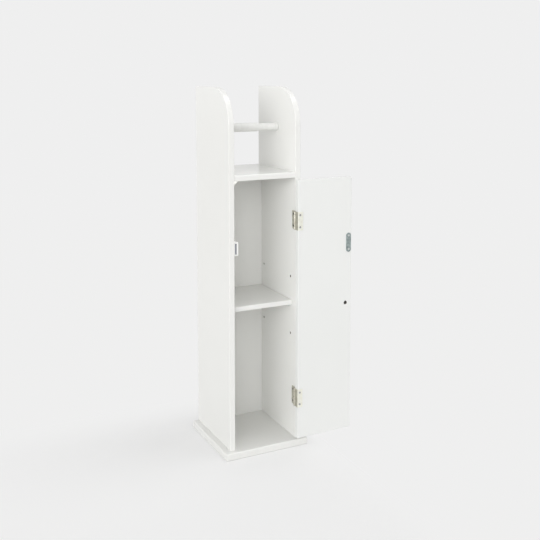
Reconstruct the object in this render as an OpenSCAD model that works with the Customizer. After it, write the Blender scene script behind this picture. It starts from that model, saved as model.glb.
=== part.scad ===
// Toilet roll storage cabinet: a narrow white floor cabinet with an open roll bay on top and an inset door.
// X runs to the right, Y to the back and Z up. The origin is the centre of the base plate's underside.

/* [Carcass] */
// Width across the outsides of the two side panels
cabinet_w = 166; // [150:1:220]
// Depth of the side panels, front edge to back edge
cabinet_d = 180; // [165:1:240]
// Overall height, floor to the top of the side panels
cabinet_h = 780; // [740:1:860]
// Thickness of the side panels and of the fixed shelf
board_t = 12; // [12:1:18]
// Radius of each side panel's front top corner
corner_r = 80; // [20:1:90]
// Height of the fixed shelf's underside
fixed_shelf_z = 588; // [540:1:620]
// Rounding of the fixed shelf's front top edge
fixed_shelf_ease = 2.5; // [0.5:0.5:5]
// Thickness of the back panel
back_t = 6; // [3:1:9]
// Distance from the side panels' back edge to the back panel
back_inset = 10; // [5:1:14]
// Depth of the grooves that hold the back panel
groove_depth = 5; // [3:0.5:7]

/* [Base] */
// Thickness of the base plate
base_t = 16; // [14:1:22]
// How far the base plate reaches in front of the side panels
base_front = 11; // [9:1:25]
// How far the base plate reaches past each side panel
base_side = 13; // [9:0.5:25]
// Rounding of the base plate's edges at the front and sides
base_ease = 3; // [1:0.5:6]

/* [Middle shelf] */
// Thickness of the middle shelf
shelf_t = 10; // [8:1:14]
// Distance from the cabinet's front to the middle shelf
shelf_setback = 13; // [13:0.5:30]
// Rounding of the middle shelf's front top edge
shelf_ease = 2.5; // [0.5:0.5:4]
// Gap between the middle shelf and each side panel
shelf_side_gap = 0.5; // [0.4:0.1:2]
// Gap between the middle shelf and the back panel
shelf_back_gap = 0.6; // [0.4:0.1:3]
// Height of the middle row of shelf pin holes
pin_z = 307.5; // [250:0.5:360]
// Height between two rows of shelf pin holes
pin_pitch = 63; // [32:1:64]
// Diameter of a shelf pin hole
pin_hole_d = 5; // [4:0.5:7]
// Depth of a shelf pin hole
pin_hole_depth = 8; // [6:0.5:9]
// Length of shelf pin that carries the shelf
pin_reach = 8; // [5:0.5:12]
// Distance from the middle shelf's front edge to the front pins
pin_front_inset = 8.5; // [6:0.5:25]
// Distance from the middle shelf's back edge to the back pins
pin_back_inset = 11.5; // [6:0.5:25]

/* [Door] */
// Thickness of the door
door_t = 12; // [12:0.5:12.5]
// Gap between the door and the side panel at the hinges
hinge_gap = 2.4; // [2.2:0.1:4]
// Gap between the door and the other side panel
free_gap = 5; // [2:0.5:6]
// Gap above the door
top_gap = 3; // [1:0.5:6]
// Gap below the door
bottom_gap = 4.5; // [1:0.5:8]
// Angle that the door stands open
door_open = 182; // [0:1:190]

/* [Knob] */
// Diameter of the door knob
knob_d = 25; // [18:1:27]
// Distance that the knob stands out from the door
knob_l = 24; // [20:1:32]
// Diameter of the knob's foot
knob_foot_d = 13; // [11:1:16]
// Distance from the door's free edge to the knob
knob_inset = 14; // [14:1:40]
// Height of the knob above the door's middle
knob_rise = 3; // [-60:1:60]
// Diameter of the recess for the knob screw's head
knob_recess_d = 8; // [7:0.5:10]
// Depth of the recess for the knob screw's head
knob_recess_depth = 6.5; // [3:0.5:7]

/* [Hinges] */
// Height of a hinge
hinge_h = 39.5; // [34:0.5:60]
// Distance from the door's top to the upper hinge's centre
upper_hinge_drop = 88; // [50:1:140]
// Distance from the door's bottom to the lower hinge's centre
lower_hinge_rise = 89.5; // [50:0.5:140]
// Thickness of the hinge leaves
leaf_t = 0.9; // [0.6:0.1:1]
// Depth of the leaf on the side panel
frame_leaf_w = 13; // [11:0.5:20]
// Width of the door leaf on the door's inner face
wrap_leaf_w = 11; // [10:0.5:20]
// Outer diameter of the knuckles
knuckle_d = 5; // [4.6:0.2:6]
// Number of knuckles in a hinge
knuckle_count = 5; // [3:2:7]
// Diameter of the hinge pin
hinge_pin_d = 3; // [2:0.1:3.2]
// Height between the two screws of a leaf
leaf_screw_pitch = 26; // [20:1:30]

/* [Catch] */
// Height of the catch's centre below the fixed shelf
catch_drop = 144; // [60:1:200]
// Height of the catch's foot
catch_foot_h = 46; // [42:1:60]
// Height of the catch's housing
catch_body_h = 31; // [26:1:34]
// Distance that the housing stands out from the side panel
catch_body_w = 14.6; // [14:0.2:20]
// Depth of the catch, front to back
catch_depth = 14; // [12:0.5:20]
// Height of the magnet
magnet_h = 23; // [14:1:24]
// Thickness of the magnet
magnet_t = 2.2; // [1.8:0.2:5]
// Thickness of each pole plate beside the magnet
pole_t = 0.8; // [0.8:0.1:1.6]
// Wall of the housing between the magnet's pocket and its inner side
pocket_wall = 3.8; // [2:0.2:5]
// Height of the strike plate
strike_h = 42.5; // [40:0.5:56]
// Width of the strike plate
strike_w = 12.5; // [12:0.5:16]
// How far the strike plate's middle sits below the catch's
strike_drop = 4; // [0:0.5:5]
// Thickness of the strike plate
strike_t = 1; // [0.8:0.1:1.6]
// Length of the two equal sides of the door stop
stop_leg = 14; // [12:0.5:22]
// Depth of the door stop, front to back
stop_depth = 12; // [8:0.5:20]

/* [Roller] */
// Distance from the cabinet's front to the roller's axis
roller_y = 88; // [70:1:110]
// Height of the roller's axis above the fixed shelf's top
roller_z = 92; // [75:1:110]
// Outer diameter of the roller's sleeve and cap
sleeve_d = 19; // [17:0.5:26]
// Outer diameter of the roller's plunger
plunger_d = 16; // [13:0.5:16]
// Wall of the sleeve's closed end
sleeve_end_t = 3; // [2:0.5:5]
// Length of plunger that shows between sleeve and cap
plunger_show = 42; // [20:1:50]
// Length of plunger inside the sleeve
plunger_overlap = 34; // [20:1:40]
// Length of the plunger's cap
cap_l = 6; // [4:0.5:12]
// Diameter of the pins at the roller's ends
roller_pin_d = 6; // [4:0.5:9]
// Length of each roller pin inside its side panel
roller_pin_l = 5; // [3:0.5:6]
// Diameter of the spring's wire
wire_d = 1; // [0.8:0.1:1.2]
// Number of the spring's turns
spring_turns = 12; // [8:1:14]

/* [Fixings] */
// Diameter of the cams under the fixed shelf
cam_d = 12; // [10:0.5:15]
// Depth of the cams in the fixed shelf
cam_depth = 9.5; // [8:0.5:10]
// Distance from the fixed shelf's end to a cam's centre
cam_inset = 24; // [18:1:34]
// Distance from the fixed shelf's front and back edges to the cams
cam_edge = 42; // [34:1:60]
// Diameter of the cam bolts' threaded end
bolt_thread_d = 5; // [4:0.5:6]
// Diameter of the cam bolts' neck
bolt_neck_d = 4; // [3:0.5:4]
// Length of cam bolt inside the side panel
bolt_thread_l = 9; // [6:0.5:9]
// Diameter of the dowels
dowel_d = 6; // [5:0.5:8]
// Length of the dowels
dowel_l = 24; // [20:1:30]
// Length of dowel inside the side panel or the base plate
dowel_seat = 8; // [6:0.5:9]
// Distance from a board's front and back edges to the dowels
dowel_edge = 18; // [12:1:26]
// Distance from the side panels' edges to the base screws
base_screw_edge = 36; // [30:1:60]
// Length of the base screws
base_screw_l = 44; // [30:1:60]

/* [Hidden] */
$fn = 64;

// Clearances
running = 0.05;   // radial, a pin that turns or slides in its bore
seat = 0.05;      // radial, a fixing in the hole drilled for it
clear = 0.3;      // between two pieces that move past each other
over = 1;         // how far a cut runs past the surface that it opens

// Carcass
base_w = cabinet_w + 2 * base_side;
base_d = cabinet_d + base_front;
front = base_front - base_d / 2;
rear = front + cabinet_d;
outer_x = cabinet_w / 2;
inner_x = outer_x - board_t;
inner_w = 2 * inner_x;
fixed_shelf_top = fixed_shelf_z + board_t;
back_y = rear - back_inset - back_t;
groove_clear = 0.2;
SIDES = [-1, 1];

// Middle shelf and its pins
shelf_y0 = front + shelf_setback;
shelf_y1 = back_y - shelf_back_gap;
pin_d = pin_hole_d - 2 * seat;
shelf_z = pin_z + pin_d / 2 + clear;
pin_rows = [shelf_y0 + pin_front_inset, shelf_y1 - pin_back_inset];

// Door, drawn shut and then turned about the hinge pins
door_z0 = base_t + bottom_gap;
door_z1 = fixed_shelf_z - top_gap;
door_h = door_z1 - door_z0;
door_x1 = inner_x - hinge_gap;
door_x0 = free_gap - inner_x;
door_back = front + door_t;
pivot_x = inner_x - knuckle_d / 2;
pivot_y = front - clear - knuckle_d / 2;

// Knob
knob_x = door_x0 + knob_inset;
knob_z = (door_z0 + door_z1) / 2 + knob_rise;
knob_neck_d = knob_foot_d - 3;
knob_foot_l = 2;
knob_flare_l = 2.5;
knob_rim_r = 3;
knob_dome = 4;
knob_touch = 0.001;
knob_head_l = knob_l * 0.62;
knob_screw_d = 4;
knob_screw_bite = 12;
knob_screw_head_d = knob_recess_d - 1;
knob_screw_head_l = 2.4;

// Hinges
hinge_z = [door_z1 - upper_hinge_drop, door_z0 + lower_hinge_rise];
knuckle_gap = 0.3;
knuckle_h = (hinge_h - (knuckle_count - 1) * knuckle_gap) / knuckle_count;
hinge_bore_r = hinge_pin_d / 2 + running;
leaf_corner_r = 1.5;
leaf_screw_d = 2.4;
leaf_screw_head_d = 4.6;
leaf_screw_l = 10;
frame_screw_y = front + frame_leaf_w * 0.55;
door_screw_x = door_x1 - wrap_leaf_w * 0.38;
pin_head_d = knuckle_d - 0.8;
pin_head_h = 0.7;

// Catch, strike plate and stop
catch_z = fixed_shelf_z - catch_drop;
catch_y = door_back + strike_t + clear;
catch_foot_t = 2.2;
pocket_depth = 10;
pole_proud = 0.2;
pocket_w = magnet_t + 2 * pole_t;
pocket_x = catch_body_w - pocket_wall - pocket_w;
small_screw_d = 2.6;
small_screw_head_d = 5;
catch_screw_l = 10;
strike_x = door_x0 + strike_w / 2 + 1;
strike_z = catch_z - strike_drop;
strike_screw_pitch = strike_h - strike_w;
strike_screw_l = door_t * 0.75;
catch_screw_pitch = (catch_foot_h + catch_body_h) / 2;
stop_screw_drop = stop_leg * 0.4;
stop_toe = 1;
stop_screw_l = 15;
stop_screw_depth = 4;

// Roller
roller_y_abs = front + roller_y;
roller_z_abs = fixed_shelf_top + roller_z;
roller_end_gap = 0.4;
roller_x0 = roller_end_gap - inner_x;
roller_x1 = inner_x - roller_end_gap;
plunger_bore_r = plunger_d / 2 + running;
plunger_x0 = roller_x1 - cap_l - plunger_show - plunger_overlap;
sleeve_x1 = roller_x1 - cap_l - plunger_show;
plunger_wall = 1.5;
plunger_end_t = 2;
roller_rim = 0.8;
pin_chamfer = 0.5;
spring_x0 = roller_x0 + sleeve_end_t + clear;
spring_x1 = plunger_x0 - clear;
spring_r = plunger_d / 2 - 1.2 - wire_d / 2;
spring_steps = 12;
spring_sides = 6;

// Fixings
cam_bore_d = bolt_thread_d + 1.5;
bolt_head_l = 3;
bolt_slack = 0.5;
dowel_slack = 0.5;
shelf_mid_z = fixed_shelf_z + board_t / 2;
side_mid_x = outer_x - board_t / 2;
cam_rows = [front + cam_edge, rear - cam_edge];
dowel_rows = [front + dowel_edge, min(rear - dowel_edge, back_y - dowel_d)];
base_screw_rows = [front + base_screw_edge, rear - base_screw_edge];
base_screw_d = 4;
base_screw_head_d = 8;

// Colours
white_paint = [0.93, 0.94, 0.93];
white_plastic = [0.95, 0.95, 0.94];
pale_brass = [0.80, 0.74, 0.60];
dark_nickel = [0.50, 0.47, 0.42];
bright_steel = [0.72, 0.73, 0.75];
blue_steel = [0.45, 0.50, 0.56];
ferrite = [0.18, 0.18, 0.24];
beech = [0.80, 0.66, 0.47];

// Extrudes a Y-Z outline along X, from x0
module along_x(x0, length) {
  translate([x0, 0, 0]) rotate([90, 0, 90]) linear_extrude(length) children();
}

// Turns what is drawn on the shut door to where the door stands
module door_pose() {
  translate([pivot_x, pivot_y, 0]) rotate([0, 0, door_open]) translate([-pivot_x, -pivot_y, 0]) children();
}

// A rectangle with four round corners, from its lower left corner
module round_rect(w, h, r) {
  translate([r, 0]) square([w - 2 * r, h]);
  translate([0, r]) square([w, h - 2 * r]);
  for (x = [r, w - r]) for (y = [r, h - r]) translate([x, y]) circle(r);
}

// A board's Y-Z outline with its front top edge rounded
module eased_outline(y0, y1, z0, t, r) {
  translate([y0 + r, z0]) square([y1 - y0 - r, t]);
  translate([y0, z0]) square([y1 - y0, t - r]);
  translate([y0 + r, z0 + t - r]) circle(r);
}

// A countersunk screw whose head is level with Z = 0 and whose point is below
module wood_screw(head_d, shank_d, length) {
  head_l = (head_d - shank_d) / 2;
  tip_l = shank_d;
  rotate_extrude() polygon([
    [0, 0], [head_d / 2, 0], [shank_d / 2, -head_l],
    [shank_d / 2, tip_l - length], [0, -length]
  ]);
}

// The hole that a countersunk screw fills, open above
module screw_cut(head_d, shank_d, length) {
  head_l = (head_d - shank_d) / 2;
  r = shank_d / 2 + seat;
  rotate_extrude() polygon([
    [0, over], [head_d / 2 + seat, over], [head_d / 2 + seat, 0], [r, -head_l - seat],
    [r, -length - seat], [0, -length - seat]
  ]);
}

// Places for what repeats: the same lists drill the holes and set the pieces
module at_pin_holes(side, rows) {
  for (y = pin_rows) for (row = rows)
    translate([side * inner_x, y, pin_z + row * pin_pitch]) rotate([0, side * 90, 0]) children();
}

module at_frame_screws(zc) {
  for (s = SIDES)
    translate([inner_x - leaf_t, frame_screw_y, zc + s * leaf_screw_pitch / 2]) rotate([0, -90, 0]) children();
}

module at_door_screws(zc) {
  for (s = SIDES)
    translate([door_screw_x, door_back + leaf_t, zc + s * leaf_screw_pitch / 2]) rotate([-90, 0, 0]) children();
}

module at_catch_screws() {
  for (s = SIDES)
    translate([catch_foot_t - inner_x, catch_y + catch_depth / 2, catch_z + s * catch_screw_pitch / 2])
      rotate([0, 90, 0]) children();
}

module at_strike_screws() {
  for (s = SIDES)
    translate([strike_x, door_back + strike_t, strike_z + s * strike_screw_pitch / 2])
      rotate([-90, 0, 0]) children();
}

module at_stop_screw() {
  translate([stop_screw_depth - inner_x, door_back + clear + stop_depth / 2, fixed_shelf_z - stop_screw_drop])
    rotate([0, 90, 0]) children();
}

module at_knob() {
  translate([knob_x, door_back, knob_z]) rotate([90, 0, 0]) children();
}

module at_cams() {
  for (side = SIDES) for (y = cam_rows)
    translate([side * (inner_x - cam_inset), y, fixed_shelf_z]) children();
}

// A cam bolt's place: +Z points from the shelf out through the side panel, Z = 0 is the panel's inner face
module at_bolts(side) {
  for (y = cam_rows) translate([side * inner_x, y, shelf_mid_z]) rotate([0, side * 90, 0]) children();
}

module at_shelf_dowels(side) {
  for (y = dowel_rows) translate([side * inner_x, y, shelf_mid_z]) rotate([0, side * 90, 0]) children();
}

module at_base_dowels(side) {
  for (y = dowel_rows) translate([side * side_mid_x, y, base_t]) rotate([180, 0, 0]) children();
}

module at_base_screws(side) {
  for (y = base_screw_rows) translate([side * side_mid_x, y, 0]) rotate([180, 0, 0]) children();
}

// A dowel, with its seat above Z = 0 and its long half below
module dowel() {
  translate([0, 0, dowel_seat - dowel_l]) cylinder(d = dowel_d, h = dowel_l);
}

// The hole for a dowel, a little deeper at both ends
module dowel_cut() {
  translate([0, 0, dowel_seat - dowel_l - dowel_slack])
    cylinder(d = dowel_d + 2 * seat, h = dowel_l + 2 * dowel_slack);
}

module bolt_cut() {
  translate([0, 0, -cam_inset]) cylinder(d = cam_bore_d, h = cam_inset + over / 2);
}

module roller_hole(side) {
  translate([side * inner_x, roller_y_abs, roller_z_abs]) rotate([0, side * 90, 0])
    translate([0, 0, -over]) cylinder(d = roller_pin_d + 2 * running, h = roller_pin_l + 2 * over);
}

// A board whose edges are eased at the front and sides, with mitred corners where the two roundings meet
module base_plate() {
  color(white_paint) difference() {
    intersection() {
      translate([-base_w / 2, base_d / 2, 0]) rotate([90, 0, 0])
        linear_extrude(base_d) round_rect(base_w, base_t, base_ease);
      along_x(-base_w / 2, base_w)
        translate([-base_d / 2, 0]) round_rect(base_d + 2 * base_ease, base_t, base_ease);
    }
    for (side = SIDES) {
      at_base_screws(side) screw_cut(base_screw_head_d, base_screw_d, base_screw_l);
      at_base_dowels(side) dowel_cut();
    }
  }
}

// The side panel's outline: a board with a quarter round at its front top corner
module side_outline() {
  translate([front, base_t]) square([cabinet_d, cabinet_h - corner_r - base_t]);
  translate([front + corner_r, base_t]) square([cabinet_d - corner_r, cabinet_h - base_t]);
  translate([front + corner_r, cabinet_h - corner_r]) circle(corner_r, $fn = 128);
}

module side_panel(side) {
  difference() {
    along_x(side > 0 ? inner_x : -outer_x, board_t) side_outline();
    at_pin_holes(side, [-1, 0, 1])
      translate([0, 0, -over]) cylinder(d = pin_hole_d, h = pin_hole_depth + over);
    translate([side * inner_x - groove_depth, back_y - groove_clear, base_t - over])
      cube([2 * groove_depth, back_t + 2 * groove_clear, fixed_shelf_z - base_t + over]);
    at_bolts(side) translate([0, 0, -over]) cylinder(d = bolt_thread_d + 2 * seat, h = bolt_thread_l + over + seat);
    at_shelf_dowels(side) dowel_cut();
    at_base_dowels(side) dowel_cut();
    at_base_screws(side) screw_cut(base_screw_head_d, base_screw_d, base_screw_l);
    roller_hole(side);
  }
}

module left_side_panel() {
  color(white_paint) difference() {
    side_panel(-1);
    at_catch_screws() screw_cut(small_screw_head_d, small_screw_d, catch_screw_l);
    at_stop_screw() screw_cut(small_screw_head_d, small_screw_d, stop_screw_l);
  }
}

module right_side_panel() {
  color(white_paint) difference() {
    side_panel(1);
    for (zc = hinge_z) at_frame_screws(zc) screw_cut(leaf_screw_head_d, leaf_screw_d, leaf_screw_l);
  }
}

module back_panel() {
  tongue = groove_depth - groove_clear;
  color(white_paint) translate([-inner_x - tongue, back_y, base_t])
    cube([inner_w + 2 * tongue, back_t, fixed_shelf_z - base_t]);
}

module top_shelf() {
  color(white_paint) difference() {
    along_x(-inner_x, inner_w) eased_outline(front, rear, fixed_shelf_z, board_t, fixed_shelf_ease);
    at_cams() translate([0, 0, -over]) cylinder(d = cam_d + 2 * seat, h = cam_depth + over + seat);
    for (side = SIDES) {
      at_bolts(side) bolt_cut();
      at_shelf_dowels(side) dowel_cut();
    }
  }
}

module middle_shelf() {
  color(white_paint) along_x(shelf_side_gap - inner_x, inner_w - 2 * shelf_side_gap)
    eased_outline(shelf_y0, shelf_y1, shelf_z, shelf_t, shelf_ease);
}

module shelf_pins() {
  bevel = 0.5;
  color(bright_steel) for (side = SIDES) at_pin_holes(side, [0]) {
    translate([0, 0, bevel - pin_reach]) cylinder(d = pin_d, h = pin_reach + pin_hole_depth - 2 * bevel);
    translate([0, 0, -pin_reach]) cylinder(d1 = pin_d - 2 * bevel, d2 = pin_d, h = bevel);
  }
}

module door() {
  color(white_paint) door_pose() difference() {
    translate([door_x0, front, door_z0]) cube([door_x1 - door_x0, door_t, door_h]);
    for (zc = hinge_z) at_door_screws(zc) screw_cut(leaf_screw_head_d, leaf_screw_d, leaf_screw_l);
    at_strike_screws() screw_cut(small_screw_head_d, small_screw_d, strike_screw_l);
    at_knob() {
      translate([0, 0, -over]) cylinder(d = knob_recess_d, h = knob_recess_depth + over);
      cylinder(d = knob_screw_d + 2 * seat, h = door_t + over);
    }
  }
}

// A turned knob: a flared foot, a waist and a domed head, revolved about its screw
module door_knob() {
  foot_r = knob_foot_d / 2;
  head_r = knob_d / 2;
  neck_r = knob_neck_d / 2;
  rim_z = knob_l - knob_head_l;
  dome_z = knob_l - knob_dome;
  dome_r = dome_radius(head_r, knob_dome);
  color(bright_steel) door_pose() at_knob() translate([0, 0, door_t]) difference() {
    rotate_extrude() difference() {
      union() {
        square([foot_r, knob_foot_l]);
        square([neck_r, dome_z]);
        polygon([
          [0, knob_foot_l], [foot_r, knob_foot_l], [neck_r, knob_foot_l + knob_flare_l],
          [neck_r, rim_z - knob_foot_l], [head_r - knob_rim_r, rim_z], [head_r - knob_rim_r, rim_z + knob_rim_r],
          [0, rim_z + knob_rim_r]
        ]);
        translate([0, rim_z + knob_rim_r]) square([head_r, dome_z - rim_z - knob_rim_r]);
        intersection() {
          translate([0, rim_z]) square([head_r, 2 * knob_rim_r]);
          translate([head_r - knob_rim_r, rim_z + knob_rim_r]) circle(knob_rim_r);
        }
        intersection() {
          translate([0, dome_z - knob_touch]) square([head_r, knob_dome + knob_touch]);
          translate([0, knob_l - dome_r]) circle(dome_r, $fn = 160);
        }
      }
      translate([-over, -over]) square([over, knob_l + 2 * over]);
    }
    translate([0, 0, -over]) cylinder(d = knob_screw_d + 2 * seat, h = knob_screw_bite + 2 * over);
  }
}

// Radius of the sphere whose cap is `rise` high on a disc of radius r
function dome_radius(r, rise) = (r * r + rise * rise) / (2 * rise);

module knob_screw() {
  head_z = knob_recess_depth - knob_screw_head_l;
  length = door_t - knob_recess_depth + knob_screw_bite;
  color(bright_steel) door_pose() at_knob() {
    translate([0, 0, head_z]) cylinder(d = knob_screw_head_d, h = knob_screw_head_l);
    translate([0, 0, knob_recess_depth]) cylinder(d = knob_screw_d, h = length);
  }
}

// The knuckles of one leaf: every second one, from `first`
module knuckles(first, zc) {
  for (i = [first : 2 : knuckle_count - 1])
    translate([pivot_x, pivot_y, zc - hinge_h / 2 + i * (knuckle_h + knuckle_gap)])
      cylinder(d = knuckle_d, h = knuckle_h);
}

// The tabs that join a leaf to its knuckles, from y0 back to the leaf
module tabs(first, zc, x0, y0) {
  for (i = [first : 2 : knuckle_count - 1])
    translate([x0, y0, zc - hinge_h / 2 + i * (knuckle_h + knuckle_gap)])
      cube([leaf_t, front + clear - y0, knuckle_h]);
}

module hinge_bore(zc) {
  translate([pivot_x, pivot_y, zc - hinge_h / 2 - over]) cylinder(r = hinge_bore_r, h = hinge_h + 2 * over);
}

// The leaf on the side panel's inner face, with the outer knuckles
module frame_leaf(zc) {
  color(dark_nickel) difference() {
    union() {
      along_x(inner_x - leaf_t, leaf_t) translate([front + clear, zc - hinge_h / 2]) {
        round_rect(frame_leaf_w - clear, hinge_h, leaf_corner_r);
        square([leaf_corner_r, hinge_h]);
      }
      tabs(0, zc, inner_x - leaf_t, pivot_y);
      knuckles(0, zc);
    }
    hinge_bore(zc);
    at_frame_screws(zc) screw_cut(leaf_screw_head_d, leaf_screw_d, leaf_screw_l);
  }
}

// The leaf that runs along the door's edge and wraps onto its inner face, with the inner knuckles
module door_leaf(zc) {
  color(pale_brass) door_pose() difference() {
    union() {
      translate([0, 0, zc - hinge_h / 2]) linear_extrude(hinge_h) {
        translate([door_x1, front + clear]) square([leaf_t, door_t - clear]);
        translate([door_x1, door_back]) circle(leaf_t);
      }
      translate([door_x1, door_back + leaf_t, zc - hinge_h / 2]) rotate([90, 0, 0]) linear_extrude(leaf_t)
        translate([-wrap_leaf_w, 0]) {
          round_rect(wrap_leaf_w, hinge_h, leaf_corner_r);
          translate([wrap_leaf_w - leaf_corner_r, 0]) square([leaf_corner_r, hinge_h]);
        }
      tabs(1, zc, door_x1, pivot_y + (hinge_bore_r + knuckle_d / 2) / 2);
      knuckles(1, zc);
    }
    translate([door_x1 - leaf_t, door_back - leaf_t, zc - hinge_h / 2 - over])
      cube([leaf_t, leaf_t, hinge_h + 2 * over]);
    hinge_bore(zc);
    at_door_screws(zc) screw_cut(leaf_screw_head_d, leaf_screw_d, leaf_screw_l);
  }
}

module hinge_pin(zc) {
  color(bright_steel) translate([pivot_x, pivot_y, zc - hinge_h / 2]) {
    cylinder(d = hinge_pin_d, h = hinge_h);
    for (z = [-pin_head_h, hinge_h]) translate([0, 0, z]) cylinder(d = pin_head_d, h = pin_head_h);
  }
}

module upper_frame_leaf() { frame_leaf(hinge_z[0]); }
module lower_frame_leaf() { frame_leaf(hinge_z[1]); }
module upper_door_leaf() { door_leaf(hinge_z[0]); }
module lower_door_leaf() { door_leaf(hinge_z[1]); }
module upper_hinge_pin() { hinge_pin(hinge_z[0]); }
module lower_hinge_pin() { hinge_pin(hinge_z[1]); }

module frame_leaf_screws() {
  color(bright_steel) for (zc = hinge_z)
    at_frame_screws(zc) wood_screw(leaf_screw_head_d, leaf_screw_d, leaf_screw_l);
}

module door_leaf_screws() {
  color(bright_steel) door_pose() for (zc = hinge_z)
    at_door_screws(zc) wood_screw(leaf_screw_head_d, leaf_screw_d, leaf_screw_l);
}

// The catch's moulding: a screwed foot on the side panel and a housing with a pocket for the magnet
module catch_body() {
  color(white_plastic) translate([-inner_x, catch_y, catch_z]) difference() {
    union() {
      translate([0, 0, -catch_foot_h / 2]) cube([catch_foot_t, catch_depth, catch_foot_h]);
      translate([0, 0, -catch_body_h / 2]) cube([catch_body_w, catch_depth, catch_body_h]);
    }
    translate([pocket_x, -over, -magnet_h / 2]) cube([pocket_w, pocket_depth + over, magnet_h]);
    translate([inner_x, -catch_y, -catch_z]) at_catch_screws()
      screw_cut(small_screw_head_d, small_screw_d, catch_screw_l);
  }
}

module catch_magnet() {
  color(ferrite) translate([pocket_x + pole_t - inner_x, catch_y + pole_proud, catch_z - magnet_h / 2])
    cube([magnet_t, pocket_depth - pole_proud, magnet_h]);
}

module catch_pole_plates() {
  color(blue_steel) for (x = [pocket_x, pocket_x + pole_t + magnet_t])
    translate([x - inner_x, catch_y, catch_z - magnet_h / 2]) cube([pole_t, pocket_depth, magnet_h]);
}

module catch_screws() {
  color(bright_steel) at_catch_screws() wood_screw(small_screw_head_d, small_screw_d, catch_screw_l);
}

// A round-ended plate on the door's inner face
module strike_plate() {
  color(blue_steel) door_pose() difference() {
    translate([strike_x, door_back + strike_t, strike_z]) rotate([90, 0, 0]) linear_extrude(strike_t)
      translate([-strike_w / 2, -strike_h / 2]) {
        translate([0, strike_w / 2]) square([strike_w, strike_h - strike_w]);
        for (y = [strike_w / 2, strike_h - strike_w / 2]) translate([strike_w / 2, y]) circle(d = strike_w);
      }
    at_strike_screws() screw_cut(small_screw_head_d, small_screw_d, strike_screw_l);
  }
}

module strike_screws() {
  color(bright_steel) door_pose() at_strike_screws()
    wood_screw(small_screw_head_d, small_screw_d, strike_screw_l);
}

// A three-cornered block under the fixed shelf that the shut door rests against
module door_stop() {
  color(white_plastic) difference() {
    translate([-inner_x, door_back + clear + stop_depth, fixed_shelf_z]) rotate([90, 0, 0])
      linear_extrude(stop_depth) polygon([
        [0, 0], [stop_leg, 0], [stop_leg, -stop_toe], [stop_toe, -stop_leg], [0, -stop_leg]
      ]);
    at_stop_screw() {
      screw_cut(small_screw_head_d, small_screw_d, stop_screw_l);
      cylinder(d = small_screw_head_d + 2 * seat, h = stop_leg);
    }
  }
}

module door_stop_screw() {
  color(bright_steel) at_stop_screw() wood_screw(small_screw_head_d, small_screw_d, stop_screw_l);
}

// The roller's outer tube, closed at the left with its pin
module roller_sleeve() {
  pin_r = roller_pin_d / 2;
  sleeve_r = sleeve_d / 2;
  color(white_plastic) translate([0, roller_y_abs, roller_z_abs]) rotate([0, 90, 0]) rotate_extrude() difference() {
    polygon([
      [0, roller_x0 - roller_pin_l], [pin_r - pin_chamfer, roller_x0 - roller_pin_l],
      [pin_r, roller_x0 - roller_pin_l + pin_chamfer], [pin_r, roller_x0], [sleeve_r - roller_rim, roller_x0],
      [sleeve_r, roller_x0 + roller_rim], [sleeve_r, sleeve_x1], [0, sleeve_x1]
    ]);
    translate([0, roller_x0 + sleeve_end_t])
      square([plunger_bore_r, sleeve_x1 - roller_x0 - sleeve_end_t + over]);
  }
}

// The roller's inner tube, with a cap and a pin at the right
module roller_plunger() {
  pin_r = roller_pin_d / 2;
  sleeve_r = sleeve_d / 2;
  tube_r = plunger_d / 2;
  color(white_plastic) translate([0, roller_y_abs, roller_z_abs]) rotate([0, 90, 0]) rotate_extrude() difference() {
    polygon([
      [0, plunger_x0], [tube_r - pin_chamfer, plunger_x0], [tube_r, plunger_x0 + pin_chamfer],
      [tube_r, roller_x1 - cap_l],
      [sleeve_r, roller_x1 - cap_l], [sleeve_r, roller_x1 - roller_rim], [sleeve_r - roller_rim, roller_x1],
      [pin_r, roller_x1], [pin_r, roller_x1 + roller_pin_l - pin_chamfer],
      [pin_r - pin_chamfer, roller_x1 + roller_pin_l], [0, roller_x1 + roller_pin_l]
    ]);
    translate([0, plunger_x0 + plunger_end_t])
      square([tube_r - plunger_wall, plunger_overlap + plunger_show - 2 * plunger_end_t]);
  }
}

// One ring of the spring's wire: `a` is the angle travelled and `x` the distance along the axis
function wire_ring(a, x) = [
  for (k = [0 : spring_sides - 1])
    let (b = 360 * k / spring_sides, r = spring_r + wire_d / 2 * cos(b))
      [x + wire_d / 2 * sin(b), r * cos(a), r * sin(a)]
];

module roller_spring() {
  steps = spring_turns * spring_steps;
  x_first = spring_x0 + wire_d / 2;
  x_run = spring_x1 - spring_x0 - wire_d;
  points = [for (i = [0 : steps]) each wire_ring(i * 360 / spring_steps, x_first + x_run * i / steps)];
  last = steps * spring_sides;
  skin = [
    for (i = [0 : steps - 1]) for (k = [0 : spring_sides - 1])
      let (a = i * spring_sides + k, b = i * spring_sides + (k + 1) % spring_sides)
        each [[a, b, a + spring_sides], [b, b + spring_sides, a + spring_sides]]
  ];
  ends = concat(
    [for (k = [1 : spring_sides - 2]) [0, k + 1, k]],
    [for (k = [1 : spring_sides - 2]) [last, last + k, last + k + 1]]
  );
  color(bright_steel) translate([0, roller_y_abs, roller_z_abs]) polyhedron(points, concat(skin, ends));
}

// A bolt screwed into the side panel, with a neck and a head that its cam draws in
module cam_bolts() {
  neck_l = cam_inset - bolt_head_l;
  color(bright_steel) for (side = SIDES) at_bolts(side) {
    cylinder(d = bolt_thread_d, h = bolt_thread_l);
    translate([0, 0, -neck_l]) cylinder(d = bolt_neck_d, h = neck_l + over);
    translate([0, 0, bolt_slack - cam_inset]) cylinder(d = bolt_thread_d, h = bolt_head_l);
  }
}

module cam_discs() {
  color(bright_steel) difference() {
    at_cams() cylinder(d = cam_d, h = cam_depth);
    for (side = SIDES) at_bolts(side) translate([0, 0, -cam_inset - over])
      cylinder(d = cam_bore_d, h = cam_inset + over);
  }
}

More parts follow.
